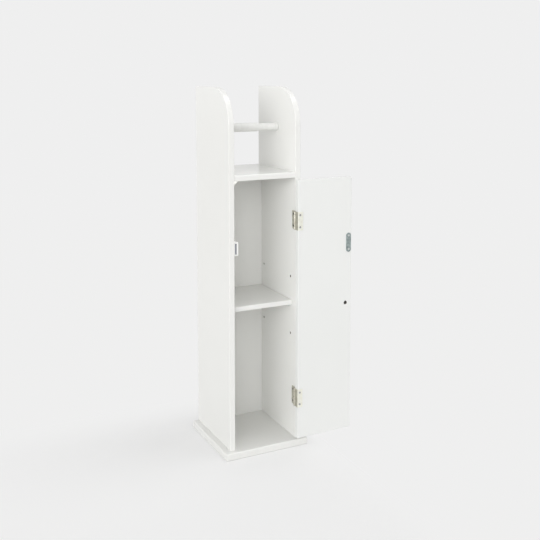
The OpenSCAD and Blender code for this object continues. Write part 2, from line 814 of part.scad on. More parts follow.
module dowels() {
  color(beech) for (side = SIDES) {
    at_shelf_dowels(side) dowel();
    at_base_dowels(side) dowel();
  }
}

module base_screws() {
  color(bright_steel) for (side = SIDES)
    at_base_screws(side) wood_screw(base_screw_head_d, base_screw_d, base_screw_l);
}

base_plate();
left_side_panel();
right_side_panel();
back_panel();
top_shelf();
middle_shelf();
shelf_pins();
door();
door_knob();
knob_screw();
upper_frame_leaf();
upper_door_leaf();
upper_hinge_pin();
lower_frame_leaf();
lower_door_leaf();
lower_hinge_pin();
frame_leaf_screws();
door_leaf_screws();
catch_body();
catch_magnet();
catch_pole_plates();
catch_screws();
strike_plate();
strike_screws();
door_stop();
door_stop_screw();
roller_sleeve();
roller_plunger();
roller_spring();
cam_bolts();
cam_discs();
dowels();
base_screws();
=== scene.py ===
"""Looks of a narrow white storage cabinet for a bathroom.

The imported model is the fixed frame. Each sub-assembly is modelled here with eased edges, drilled holes,
cross-recess screws and painted, plated or moulded finishes, and rides on the body that carries it.
Sizes are in millimetres along the frame's own axes, and become metres where Blender takes them.
"""

import logging
import math
from collections.abc import Callable, Iterator, Sequence
from contextlib import contextmanager
from dataclasses import dataclass
from enum import Enum
from functools import cache
from typing import Self

import bmesh
import bpy
from mathutils import Matrix, Vector


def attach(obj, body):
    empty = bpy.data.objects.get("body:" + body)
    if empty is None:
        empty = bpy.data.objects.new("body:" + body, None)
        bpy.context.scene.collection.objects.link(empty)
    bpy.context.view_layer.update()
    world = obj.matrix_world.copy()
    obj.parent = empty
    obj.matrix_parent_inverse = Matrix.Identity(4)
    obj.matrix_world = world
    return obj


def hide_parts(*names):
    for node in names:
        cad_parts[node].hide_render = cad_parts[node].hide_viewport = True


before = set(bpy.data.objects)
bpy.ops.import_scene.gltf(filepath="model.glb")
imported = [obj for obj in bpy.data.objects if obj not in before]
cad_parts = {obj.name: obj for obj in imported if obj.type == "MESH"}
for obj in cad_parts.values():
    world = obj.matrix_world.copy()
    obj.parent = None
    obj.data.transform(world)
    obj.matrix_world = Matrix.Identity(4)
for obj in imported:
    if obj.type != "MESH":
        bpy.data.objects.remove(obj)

LOG = logging.getLogger("cabinet")
MM = 0.001
# How far a cutter reaches past the face that it cuts
PAST = 1.0
# Points closer than this become one, in metres
WELD = 1e-7
# Faces that turn by less than this shade as one, in degrees
SMOOTH = 32.0
Pair = tuple[float, float]
Triple = tuple[float, float, float]
Operator = Callable[..., set[str]]


# Shader expressions


class Signal:
    """One output socket, used in an expression as if it were a number."""

    def __init__(self, graph: "Graph", socket: bpy.types.NodeSocket | None) -> None:
        """Keeps the socket and the graph that its expressions add to."""
        self.graph = graph
        self.socket = socket

    def _math(self, operation: str, *values: "Signal | float") -> "Signal":
        """Adds one Math node with these inputs."""
        return self.graph.node("ShaderNodeMath", {"operation": operation}, dict(enumerate(values)))

    def __add__(self, other: "Signal | float") -> "Signal":
        """Adds a value."""
        return self._math("ADD", self, other)

    def __radd__(self, other: float) -> "Signal":
        """Adds to a plain number."""
        return self._math("ADD", other, self)

    def __sub__(self, other: "Signal | float") -> "Signal":
        """Takes a value away."""
        return self._math("SUBTRACT", self, other)

    def __rsub__(self, other: float) -> "Signal":
        """Takes the signal away from a plain number."""
        return self._math("SUBTRACT", other, self)

    def __mul__(self, other: "Signal | float") -> "Signal":
        """Multiplies by a value."""
        return self._math("MULTIPLY", self, other)

    def __rmul__(self, other: float) -> "Signal":
        """Multiplies a plain number."""
        return self._math("MULTIPLY", other, self)

    def larger(self, other: "Signal | float") -> "Signal":
        """Takes the larger of two values."""
        return self._math("MAXIMUM", self, other)

    def ramp(self, low: float, high: float) -> "Signal":
        """Eases from 0, up to the low value, to 1, from the high value on."""
        inputs = {"Value": self, "From Min": low, "From Max": high}
        return self.graph.node("ShaderNodeMapRange", {"interpolation_type": "SMOOTHSTEP"}, inputs)


class Graph:
    """The node tree of one material or of the world."""

    def __init__(self, tree: bpy.types.NodeTree) -> None:
        """Empties a node tree, so that every node in it is added here."""
        self.tree = tree
        self.tree.nodes.clear()

    def node(
        self,
        kind: str,
        settings: dict[str, object] | None = None,
        inputs: dict[int | str, object] | None = None,
        output: int | str = 0,
    ) -> Signal:
        """Adds a node of any type.

        Args:
            kind: the node's type.
            settings: its own settings, set first.
            inputs: a value or a signal for each named or numbered input.
            output: the output that the result stands for.

        Returns:
            That output as a signal.
        """
        added = self.tree.nodes.new(kind)
        for name, value in (settings or {}).items():
            setattr(added, name, value)
        for key, value in (inputs or {}).items():
            if isinstance(value, Signal):
                self.tree.links.new(value.socket, added.inputs[key])
            else:
                added.inputs[key].default_value = value
        return Signal(self, added.outputs[output] if len(added.outputs) else None)

    def where(self, stretch: Triple = (1.0, 1.0, 1.0), shift: Triple = (0.0, 0.0, 0.0)) -> Signal:
        """Gives the object's own coordinates in metres, shifted and stretched for a pattern."""
        place = self.node("ShaderNodeTexCoord", output="Object")
        return self.node("ShaderNodeMapping", None, {"Vector": place, "Location": shift, "Scale": stretch})

    def noise(self, vector: Signal, scale: float, detail: float = 3.0, roughness: float = 0.5) -> Signal:
        """Adds a cloudy pattern about 0.5, with its clouds per metre and its octaves."""
        inputs = {"Vector": vector, "Scale": scale, "Detail": detail, "Roughness": roughness}
        return self.node("ShaderNodeTexNoise", None, inputs)

    def blend(self, factor: Signal, first: Triple, second: Triple | Signal) -> Signal:
        """Mixes a colour, at 0, with a colour or the result of another mix, at 1."""
        ends = {6: (*first, 1.0), 7: second if isinstance(second, Signal) else (*second, 1.0)}
        return self.node("ShaderNodeMix", {"data_type": "RGBA"}, {0: factor, **ends}, 2)

    def bump(self, height: Signal, depth: float) -> Signal:
        """Turns a height from 0 to 1 into a normal, where 1 stands for a depth in millimetres."""
        return self.node("ShaderNodeBump", None, {"Height": height, "Strength": 1.0, "Distance": depth * MM})

    def surface(self, **inputs: object) -> None:
        """Ends a material in a Principled surface.

        Args:
            inputs: values or signals by socket name, with _ for each space.
        """
        sockets = {name.replace("_", " "): value for name, value in inputs.items()}
        shader = self.node("ShaderNodeBsdfPrincipled", None, sockets)
        self.node("ShaderNodeOutputMaterial", None, {"Surface": shader})


def new_graph(name: str) -> tuple[bpy.types.Material, Graph]:
    """Makes an empty material.

    Args:
        name: the material's name.

    Returns:
        The material and the graph that fills it.
    """
    material = bpy.data.materials.new(name)
    material.use_nodes = True
    return material, Graph(material.node_tree)


# Finishes


@dataclass(frozen=True)
class Recipe:
    """What every finish has: a name and two tones."""

    name: str
    colour: Triple
    shade: Triple

    def make(self) -> bpy.types.Material:
        """Builds the material.

        Returns:
            The finish, ready for a piece.
        """
        material, graph = new_graph(self.name)
        self.lay(graph)
        return material

    def lay(self, graph: Graph) -> None:
        """Fills the material's graph, which each kind of finish does in its own way."""
        raise NotImplementedError


@dataclass(frozen=True)
class SprayedPaint(Recipe):
    """Satin lacquer sprayed on board: faint clouds, a fine orange peel and rubbed patches."""

    roughness: float = 0.18
    rubbing: float = 0.05
    peel: float = 0.012
    gloss: float = 0.33

    def lay(self, graph: Graph) -> None:
        """Lays the lacquer.

        Args:
            graph: the material's graph.
        """
        spot = graph.where()
        cloud = graph.noise(spot, 6.0, 1.0)
        rubbed = graph.noise(graph.where(shift=(3.1, 1.7, 0.4)), 11.0, 1.0)
        drops = graph.noise(spot, 620.0, 1.0)
        graph.surface(
            Base_Color=graph.blend(cloud.ramp(0.3, 0.7), self.shade, self.colour),
            Roughness=self.roughness + self.rubbing * rubbed.ramp(0.3, 0.7),
            Normal=graph.bump(drops, self.peel),
            Specular_IOR_Level=self.gloss,
        )


@dataclass(frozen=True)
class PlatedMetal(Recipe):
    """Plated steel or brass: drawn lines, duller patches and a few dark specks."""

    roughness: float = 0.28
    lines: Triple = (1.0, 1.0, 14.0)
    scratch: float = 0.006
    metallic: float = 1.0

    def lay(self, graph: Graph) -> None:
        """Lays the plating.

        Args:
            graph: the material's graph.
        """
        drawn = graph.noise(graph.where(self.lines), 260.0, 4.0, 0.6)
        patch = graph.noise(graph.where(shift=(0.7, 2.3, 5.1)), 170.0, 3.0, 0.6)
        speck = graph.noise(graph.where(), 900.0, 1.0).ramp(0.66, 0.72)
        worn = (patch * 0.65 + drawn * 0.35).ramp(0.38, 0.64)
        specked = graph.blend(speck * 0.5, self.colour, self.shade)
        graph.surface(
            Base_Color=graph.blend(worn, self.shade, specked),
            Metallic=self.metallic,
            Roughness=self.roughness + 0.12 * (1.0 - worn) + 0.06 * drawn,
            Normal=graph.bump(drawn, self.scratch),
        )


@dataclass(frozen=True)
class Moulded(Recipe):
    """Injection-moulded plastic: an even colour with a fine spark-eroded skin and faint flow lines."""

    roughness: float = 0.42
    grain: float = 0.01
    # Emission strength: a painted glow that lights the plastic in shade, though it is no lamp
    glow: float = 0.0

    def lay(self, graph: Graph) -> None:
        """Lays the plastic, with a painted glow that brightens it where it stands in shade.

        Args:
            graph: the material's graph.
        """
        skin = graph.noise(graph.where(), 1400.0, 2.0)
        flow = graph.noise(graph.where((1.0, 1.0, 0.25)), 120.0, 3.0)
        graph.surface(
            Base_Color=graph.blend(flow.ramp(0.3, 0.7), self.shade, self.colour),
            Roughness=self.roughness - 0.04 + 0.1 * skin,
            Normal=graph.bump(skin, self.grain),
            # Painted light: the plastic's own colour glows, so that it stays bright in shade
            Emission_Color=(*self.colour, 1.0),
            Emission_Strength=self.glow,
        )


@dataclass(frozen=True)
class Sintered(Recipe):
    """Pressed and ground material, such as ferrite or die-cast zinc, with open pores."""

    roughness: float = 0.6
    metallic: float = 0.0
    pores: float = 0.03

    def lay(self, graph: Graph) -> None:
        """Lays the pressed grains.

        Args:
            graph: the material's graph.
        """
        grain = graph.noise(graph.where(), 1100.0, 4.0, 0.7)
        cloud = graph.noise(graph.where(shift=(1.3, 0.2, 0.9)), 150.0, 3.0)
        open_pores = (grain * 0.8 + cloud * 0.2).ramp(0.4, 0.56)
        graph.surface(
            Base_Color=graph.blend(open_pores, self.shade, self.colour),
            Metallic=self.metallic,
            Roughness=self.roughness + 0.15 * (1.0 - open_pores),
            Normal=graph.bump(grain, self.pores),
        )


@dataclass(frozen=True)
class TurnedWood(Recipe):
    """Bare beech along its grain, with short dark rays."""

    fibre: float = 0.03

    def lay(self, graph: Graph) -> None:
        """Lays the grain.

        Args:
            graph: the material's graph.
        """
        grain = graph.noise(graph.where((0.12, 1.0, 0.12)), 900.0, 4.0, 0.6)
        rays = graph.noise(graph.where((0.3, 1.0, 1.0)), 1500.0, 2.0).ramp(0.58, 0.66)
        board = graph.blend(grain.ramp(0.35, 0.65), self.shade, self.colour)
        graph.surface(
            Base_Color=graph.blend(rays * 0.4, self.shade, board),
            Roughness=0.62 + 0.1 * grain,
            Normal=graph.bump(grain, self.fibre),
        )


class Finish(Enum):
    """Every finish of the cabinet."""

    PAINT = SprayedPaint("white_paint", (0.872, 0.872, 0.85), (0.86, 0.86, 0.836))
    # A cooler copy of the white paint for the door: painted light, the cool cast that the front light gives
    # its face
    DOOR_PAINT = SprayedPaint("door_paint", (0.874, 0.882, 0.868), (0.864, 0.872, 0.857))
    # A darker copy of the hinge metal for the leaf on the side panel's inner face: painted shade, not wear
    FRAME_LEAF = PlatedMetal("shaded_nickel", (0.76, 0.75, 0.66), (0.5, 0.48, 0.4), 0.36, metallic=0.7)
    DOOR_LEAF = PlatedMetal("pale_brass", (0.93, 0.93, 0.85), (0.84, 0.83, 0.74), 0.42, metallic=0.75)
    BARREL = PlatedMetal("barrel_nickel", (0.9, 0.88, 0.79), (0.58, 0.55, 0.46), 0.22)
    # A darker copy of the door leaf's brass for its bend, which faces left into shade on the open door:
    # painted shade
    BEND = PlatedMetal("shaded_brass", (0.68, 0.67, 0.58), (0.55, 0.53, 0.45), 0.42, metallic=0.75)
    HINGE_PIN = PlatedMetal("pin_steel", (0.6, 0.58, 0.54), (0.38, 0.36, 0.33))
    ZINC = PlatedMetal("zinc_screw", (0.55, 0.55, 0.55), (0.3, 0.3, 0.31), 0.32, (1, 1, 1))
    # A near-black copy of the zinc for screws that stand in shade, in the side panel's hinge leaves and the
    # knob's recess: painted shade
    SHADED_ZINC = PlatedMetal("shaded_zinc_screw", (0.16, 0.16, 0.17), (0.07, 0.07, 0.08), 0.4, (1, 1, 1))
    STRIKE = PlatedMetal("strike_steel", (0.43, 0.5, 0.49), (0.26, 0.31, 0.31), 0.32, (9, 1, 1))
    BRIGHT = PlatedMetal("bright_zinc", (0.88, 0.9, 0.89), (0.62, 0.65, 0.64), 0.3, (1, 1, 1))
    NICKEL = PlatedMetal("satin_nickel", (0.66, 0.64, 0.61), (0.52, 0.5, 0.47), 0.3, (1, 1, 9))
    SPRING = PlatedMetal("spring_steel", (0.5, 0.5, 0.52), (0.3, 0.3, 0.32), 0.25)
    # A painted glow of 0.25: painted light that brightens the catch body where the side panel shades it
    PLASTIC = Moulded("white_plastic", (0.88, 0.88, 0.87), (0.85, 0.85, 0.835), glow=0.25)
    # A painted glow of 0.5: a painted highlight that lights the door stop in the shade of the fixed shelf and
    # left panel
    STOP = Moulded("stop_plastic", (0.9, 0.9, 0.86), (0.86, 0.86, 0.82), glow=0.5)
    ROLLER = Moulded("roller_plastic", (0.84, 0.84, 0.82), (0.8, 0.8, 0.78), 0.36)
    FERRITE = Sintered("ferrite", (0.36, 0.34, 0.43), (0.22, 0.21, 0.27))
    CAST = Sintered("cast_zinc", (0.5, 0.5, 0.5), (0.3, 0.3, 0.31), 0.4, 1.0, 0.02)
    CORE = Sintered("board_core", (0.2, 0.18, 0.15), (0.1, 0.09, 0.075), 0.85, 0.0, 0.08)
    BEECH = TurnedWood("beech", (0.62, 0.45, 0.28), (0.45, 0.3, 0.17))

    @cache
    def material(self) -> bpy.types.Material:
        """Gives the material, which is made at its first use."""
        return self.value.make()


# Modelling


class Kind(Enum):
    """What is selected in edit mode."""

    EDGE = "EDGE"
    FACE = "FACE"


class Facing(Enum):
    """The way in which a turned piece points."""

    UP = (0, 0, 1)
    DOWN = (0, 0, -1)
    RIGHT = (1, 0, 0)
    LEFT = (-1, 0, 0)
    FRONT = (0, -1, 0)
    BACK = (0, 1, 0)

    def matrix(self, at: Triple) -> Matrix:
        """Turns a piece from +Z to this way, and moves its origin to a place in millimetres."""
        turn = Vector(Facing.UP.value).rotation_difference(Vector(self.value))
        return Matrix.Translation(Vector(at) * MM) @ turn.to_matrix().to_4x4()


@dataclass(frozen=True)
class Site:
    """Where an element of a mesh is, in millimetres, which way it faces, and which way an edge runs."""

    middle: Vector
    normal: Vector
    along: Vector

    @classmethod
    def of(cls, element: bmesh.types.BMEdge | bmesh.types.BMFace) -> Self:
        """Describes one element.

        Args:
            element: an edge or a face.

        Returns:
            Its site.
        """
        nowhere = Vector((0, 0, 0))
        if isinstance(element, bmesh.types.BMFace):
            return cls(element.calc_center_median() / MM, element.normal.copy(), nowhere)
        first, second = (corner.co for corner in element.verts)
        normal = sum((face.normal for face in element.link_faces), nowhere)
        return cls((first + second) / 2 / MM, normal.normalized(), (second - first).normalized())

    def runs(self, axis: int) -> bool:
        """Tells whether an edge runs along an axis."""
        return abs(self.along[axis]) > 0.99

    def faces(self, way: Facing) -> bool:
        """Tells whether a face points a given way."""
        return self.normal.dot(Vector(way.value)) > 0.99


Test = Callable[[Site], bool]


def near(value: float, target: float, slack: float = 0.02) -> bool:
    """Tells whether two lengths agree, to within some slack."""
    return abs(value - target) < slack


def both(middle: float, offset: float) -> Pair:
    """Gives the places at a distance on either side of a middle, the lower first."""
    return middle - offset, middle + offset


def edges(axis: int, x: float | None = None, y: float | None = None, z: float | None = None) -> Test:
    """Picks edges by their way and their place.

    Args:
        axis: 0, 1 or 2, for the axis that they run along.
        x: where their middles are along X, or None for anywhere.
        y: the same along Y.
        z: the same along Z.

    Returns:
        The test that such edges pass.
    """
    wanted = {index: place for index, place in enumerate((x, y, z)) if place is not None}
    return lambda site: site.runs(axis) and all(near(site.middle[index], wanted[index]) for index in wanted)


def arc(centre: Pair, radius: float, first: float, last: float, count: int) -> list[Pair]:
    """Lists the rings of a turned piece along an arc of its outline.

    Args:
        centre: the radius and height of the arc's middle.
        radius: the arc's own radius.
        first: where it starts, in degrees upwards from level.
        last: where it ends.
        count: how many rings it has.

    Returns:
        Radius and height of each ring.
    """
    turns = [math.radians(first + (last - first) * step / (count - 1)) for step in range(count)]
    return [(centre[0] + radius * math.cos(turn), centre[1] + radius * math.sin(turn)) for turn in turns]


class Form:
    """One piece, started from a primitive and shaped with Blender's own operators."""

    def __init__(self, body: bpy.types.Object) -> None:
        """Takes over an object, to shape it."""
        self.body = body

    @staticmethod
    def select(*objects: bpy.types.Object) -> None:
        """Selects these objects alone and makes the first active.

        Args:
            objects: what is selected.
        """
        bpy.ops.object.select_all(action="DESELECT")
        for thing in objects:
            thing.select_set(True)
        if objects:
            bpy.context.view_layer.objects.active = objects[0]

    @classmethod
    def _start(cls, name: str, add: Operator, **options: object) -> Self:
        """Starts a piece from a primitive.

        Args:
            name: the piece's name.
            add: the operator that adds the primitive.
            options: the operator's own options.

        Returns:
            The new piece.
        """
        cls.select()
        add(**options)
        bpy.context.object.name = name
        bpy.ops.object.transform_apply(location=True, rotation=True, scale=True)
        return cls(bpy.context.object)

    @classmethod
    def block(cls, name: str, low: Triple, high: Triple) -> Self:
        """Starts a piece from a box between its lowest and its highest corner."""
        add, low, high = bpy.ops.mesh.primitive_cube_add, Vector(low) * MM, Vector(high) * MM
        return cls._start(name, add, size=1.0, location=(low + high) / 2, scale=high - low)

    @classmethod
    def turned(
        cls,
        name: str,
        rings: Sequence[Pair],
        at: Triple = (0, 0, 0),
        facing: Facing = Facing.UP,
        sides: int = 48,
        hollow: bool = False,
    ) -> Self:
        """Turns a piece from a disc by extruding and scaling it from ring to ring.

        Args:
            name: the piece's name.
            rings: radius and height of each ring, in millimetres.
            at: where the height 0 of its axis goes.
            facing: the way in which its heights grow.
            sides: corners of each ring.
            hollow: True for a tube, whose last ring meets its first.

        Returns:
            The new piece.
        """
        radius, height = rings[0]
        disc = {"vertices": sides, "radius": radius * MM, "fill_type": "NOTHING" if hollow else "NGON"}
        form = cls._start(name, bpy.ops.mesh.primitive_circle_add, location=(0, 0, height * MM), **disc)
        extrude = bpy.ops.mesh.extrude_edges_move if hollow else bpy.ops.mesh.extrude_region_move
        with form.editing(Kind.EDGE if hollow else Kind.FACE):
            for (old_r, old_z), (new_r, new_z) in zip(rings, rings[1:]):
                extrude(TRANSFORM_OT_translate={"value": (0, 0, (new_z - old_z) * MM)})
                factor = new_r / old_r
                bpy.ops.transform.resize(value=(factor, factor, 1), center_override=(0, 0, new_z * MM))
            bpy.ops.mesh.select_all(action="SELECT")
            bpy.ops.mesh.remove_doubles(threshold=WELD)
            bpy.ops.mesh.normals_make_consistent(inside=False)
        return form.place(facing.matrix(at))

    @contextmanager
    def editing(self, kind: Kind, test: Test | None = None) -> Iterator[None]:
        """Opens the piece in edit mode, and closes it again.

        Args:
            kind: what is selected in the meantime.
            test: says which of them are, or None for all.

        Yields:
            Nothing.
        """
        self.select(self.body)
        bpy.ops.object.mode_set(mode="EDIT")
        bpy.ops.mesh.select_mode(type=kind.value)
        bpy.ops.mesh.select_all(action="DESELECT" if test else "SELECT")
        mesh = bmesh.from_edit_mesh(self.body.data)
        mesh.normal_update()
        for element in mesh.edges if kind is Kind.EDGE else mesh.faces:
            if test and test(Site.of(element)):
                element.select_set(True)
        bmesh.update_edit_mesh(self.body.data)
        yield
        bpy.ops.object.mode_set(mode="OBJECT")

    def _edit(self, kind: Kind, test: Test | None, operator: Operator, **options: object) -> Self:
        """Runs one operator on some of the mesh.

        Args:
            kind: what it works on.
            test: says which of them, or None for all.
            operator: the operator.
            options: the operator's own options.

        Returns:
            This piece.
        """
        with self.editing(kind, test):
            operator(**options)
        return self

    def round_edges(self, test: Test, radius: float, segments: int) -> Self:
        """Rounds some of the edges to a radius, with so many faces in each rounding."""
        options = {"offset": radius * MM, "segments": segments, "affect": "EDGES", "clamp_overlap": False}
        return self._edit(Kind.EDGE, test, bpy.ops.mesh.bevel, **options)

    def split(self, point: Triple, normal: Triple, trim: bool = False) -> Self:
        """Cuts the skin along a plane, and if it trims, closes it there and drops the normal's side."""
        options = {"plane_no": normal, "use_fill": trim, "clear_outer": trim, "threshold": WELD}
        return self._edit(Kind.FACE, None, bpy.ops.mesh.bisect, plane_co=Vector(point) * MM, **options)

    def push(self, test: Test, move: Triple) -> Self:
        """Extrudes some of the faces by a move in millimetres."""
        options = {"TRANSFORM_OT_translate": {"value": Vector(move) * MM}}
        return self._edit(Kind.FACE, test, bpy.ops.mesh.extrude_region_move, **options)

    def shrink(self, test: Test, factors: Triple, about: Triple) -> Self:
        """Scales some of the faces along each axis about a point."""
        options = {"value": factors, "center_override": Vector(about) * MM}
        return self._edit(Kind.FACE, test, bpy.ops.transform.resize, **options)

    def _modify(self, kind: str, **settings: object) -> Self:
        """Shapes the piece with a modifier and applies it.

        Args:
            kind: the modifier's type.
            settings: its own settings.

        Returns:
            This piece.
        """
        modifier = self.body.modifiers.new(kind.lower(), kind)
        for name, value in settings.items():
            setattr(modifier, name, value)
        self.select(self.body)
        bpy.ops.object.modifier_apply(modifier=modifier.name)
        return self

    def soften(self, width: float, segments: int = 2, angle: float = 60.0) -> Self:
        """Eases every edge that turns by more than an angle in degrees."""
        limits = {"limit_method": "ANGLE", "angle_limit": math.radians(angle)}
        return self._modify("BEVEL", width=width * MM, segments=segments, **limits)

    def cut(self, *tools: "Form") -> Self:
        """Takes other pieces away from this one, and removes them.

        Args:
            tools: what is taken away.

        Returns:
            This piece.
        """
        for tool in tools:
            self._modify("BOOLEAN", object=tool.body, operation="DIFFERENCE", solver="EXACT")
            tool.drop()
        return self

    def join(self, *others: "Form") -> Self:
        """Makes other pieces part of this one.

        Args:
            others: the pieces that become part of it.

        Returns:
            This piece.
        """
        if others:
            self.select(self.body, *(other.body for other in others))
            bpy.ops.object.join()
        return self

    def place(self, matrix: Matrix) -> Self:
        """Moves the mesh, and leaves the object at the origin.

        Args:
            matrix: where it goes, in metres.

        Returns:
            This piece.
        """
        self.select(self.body)
        self.body.matrix_world = matrix @ self.body.matrix_world
        bpy.ops.object.transform_apply(location=True, rotation=True, scale=True)
        return self

    def copy(self, name: str, matrix: Matrix) -> "Form":
        """Copies the piece, with a mesh of its own.

        Args:
            name: the copy's name.
            matrix: where it goes from here, in metres.

        Returns:
            The copy.
        """
        body = bpy.data.objects.new(name, self.body.data.copy())
        bpy.context.collection.objects.link(body)
        return Form(body).place(matrix)

    def spread(self, name: str, sites: Sequence[Triple], facing: Facing, turns: Sequence[float]) -> "Form":
        """Sets a copy at each site, each turned as a hand left it, and removes the model of them.

        Args:
            name: the name of all the copies as one piece.
            sites: where the copies' origins go, in millimetres.
            facing: the way in which they face.
            turns: how far each is turned, in degrees.

        Returns:
            The copies as one piece.
        """
        copies = []
        for index, (at, turn) in enumerate(zip(sites, turns)):
            spun = facing.matrix(at) @ Matrix.Rotation(math.radians(turn), 4, "Z")
            copies.append(self.copy(f"{name}_{index}" if index else name, spun))
        self.drop()
        return copies[0].join(*copies[1:])

    def drop(self) -> None:
        """Removes the piece, once it has served."""
        bpy.data.objects.remove(self.body)

    def bare(self, finish: Finish, test: Test) -> Self:
        """Gives some of the faces of a dressed piece another finish.

        Args:
            finish: the finish that shows there.
            test: says which faces.

        Returns:
            This piece.
        """
        self.body.data.materials.append(finish.material())
        self.body.active_material_index = len(self.body.data.materials) - 1
        return self._edit(Kind.FACE, test, bpy.ops.object.material_slot_assign)

    def dress(self, finish: Finish, body: str, slot: str, *nodes: str) -> Self:
        """Smooths the piece, gives it its finish, and lets it stand for its nodes.

        Args:
            finish: its finish.
            body: the body that it rides on.
            slot: the record's name for its finish; not used.
            nodes: the nodes that it stands for.

        Returns:
            This piece.
        """
        self.select(self.body)
        bpy.ops.object.shade_smooth_by_angle(angle=math.radians(SMOOTH))
        self._modify("WEIGHTED_NORMAL", keep_sharp=True)
        self.body.data.materials.clear()
        self.body.data.materials.append(finish.material())
        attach(self.body, body)
        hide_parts(*nodes)
        LOG.info("%s: %d faces, rides on %s", self.body.name, len(self.body.data.polygons), body)
        return self


# Shared places and screws


@dataclass(frozen=True)
class Layout:
    """The places that more than one sub-assembly uses."""

    front: float = -84.5
    rear: float = 95.5
    outer: float = 83.0
    inner: float = 71.0
    base_top: float = 16.0
    top: float = 780.0
    shelf_under: float = 588.0
    shelf_top: float = 600.0
    door_inner: float = -72.5
    door_edge: float = 68.6
    pivot: Pair = (68.5, -87.3)
    opened: float = 182.0
    roller: Pair = (3.5, 692.0)

    def open_door(self) -> Matrix:
        """Turns what is modelled on the shut door to where the door stands."""
        pivot = Matrix.Translation(Vector((*self.pivot, 0.0)) * MM)
        return pivot @ Matrix.Rotation(math.radians(self.opened), 4, "Z") @ pivot.inverted()


PLAN = Layout()


class Side(Enum):
    """The left or right side panel."""

    LEFT = -1
    RIGHT = 1

    def span(self, first: float, second: float) -> Pair:
        """Gives two distances from the middle as places along X on this side, the lower first."""
        return tuple(sorted((self.value * first, self.value * second)))


@dataclass(frozen=True)
class CrossScrew:
    """A countersunk wood screw, modelled once and copied. Its cross recess is in shares of its head."""

    head: float
    shank: float
    length: float
    slack: float = 0.05
    cross_reach: float = 0.56
    cross_depth: float = 0.3

    def master(self) -> Form:
        """Models the screw with its head level with Z = 0 and its point below.

        Returns:
            The screw.
        """
        head, shank = self.head / 2, self.shank / 2
        rings = [(shank * 0.12, -self.length), (shank, shank * 2 - self.length), (shank, shank - head)]
        rings += [(head - 0.1, -0.12), (head - 0.04, -0.03), (head - 0.16, 0.0), (head * 0.55, 0.0)]
        blades = self.recess(self.head * self.cross_reach, self.head * self.cross_depth)
        return Form.turned("screw", rings, sides=32).cut(*blades)

    @staticmethod
    def recess(reach: float, depth: float) -> list[Form]:
        """Models the two crossed blades of the recess, narrower below.

        Args:
            reach: length of a blade across the head.
            depth: how deep it goes.

        Returns:
            The two blades.
        """
        width = reach * 0.24
        blade = Form.block("blade", (-reach / 2, -width / 2, -depth), (reach / 2, width / 2, PAST / 2))
        blade.shrink(lambda site: site.faces(Facing.DOWN), (0.3, 0.55, 1.0), (0.0, 0.0, -depth))
        return [blade, blade.copy("blade_across", Matrix.Rotation(math.radians(90), 4, "Z"))]

    def sink(self, piece: Form, sites: Sequence[Triple], facing: Facing) -> Form:
        """Cuts the countersunk holes that the heads fill.

        Args:
            piece: what the screws hold.
            sites: the middles of the heads' faces, in millimetres.
            facing: the way in which the heads face.

        Returns:
            The piece.
        """
        head, shank = self.head / 2 + self.slack, self.shank / 2 + self.slack
        rings = [(shank, -self.length), (shank, shank - head), (head, 0.0), (head, PAST)]
        return piece.cut(*(Form.turned("seat", rings, at, facing, 32) for at in sites))

    def row(self, name: str, sites: Sequence[Triple], facing: Facing, turns: Sequence[float]) -> Form:
        """Sets a screw at each site, each with its own turn in degrees."""
        return self.master().spread(name, sites, facing, turns)


# Carcass


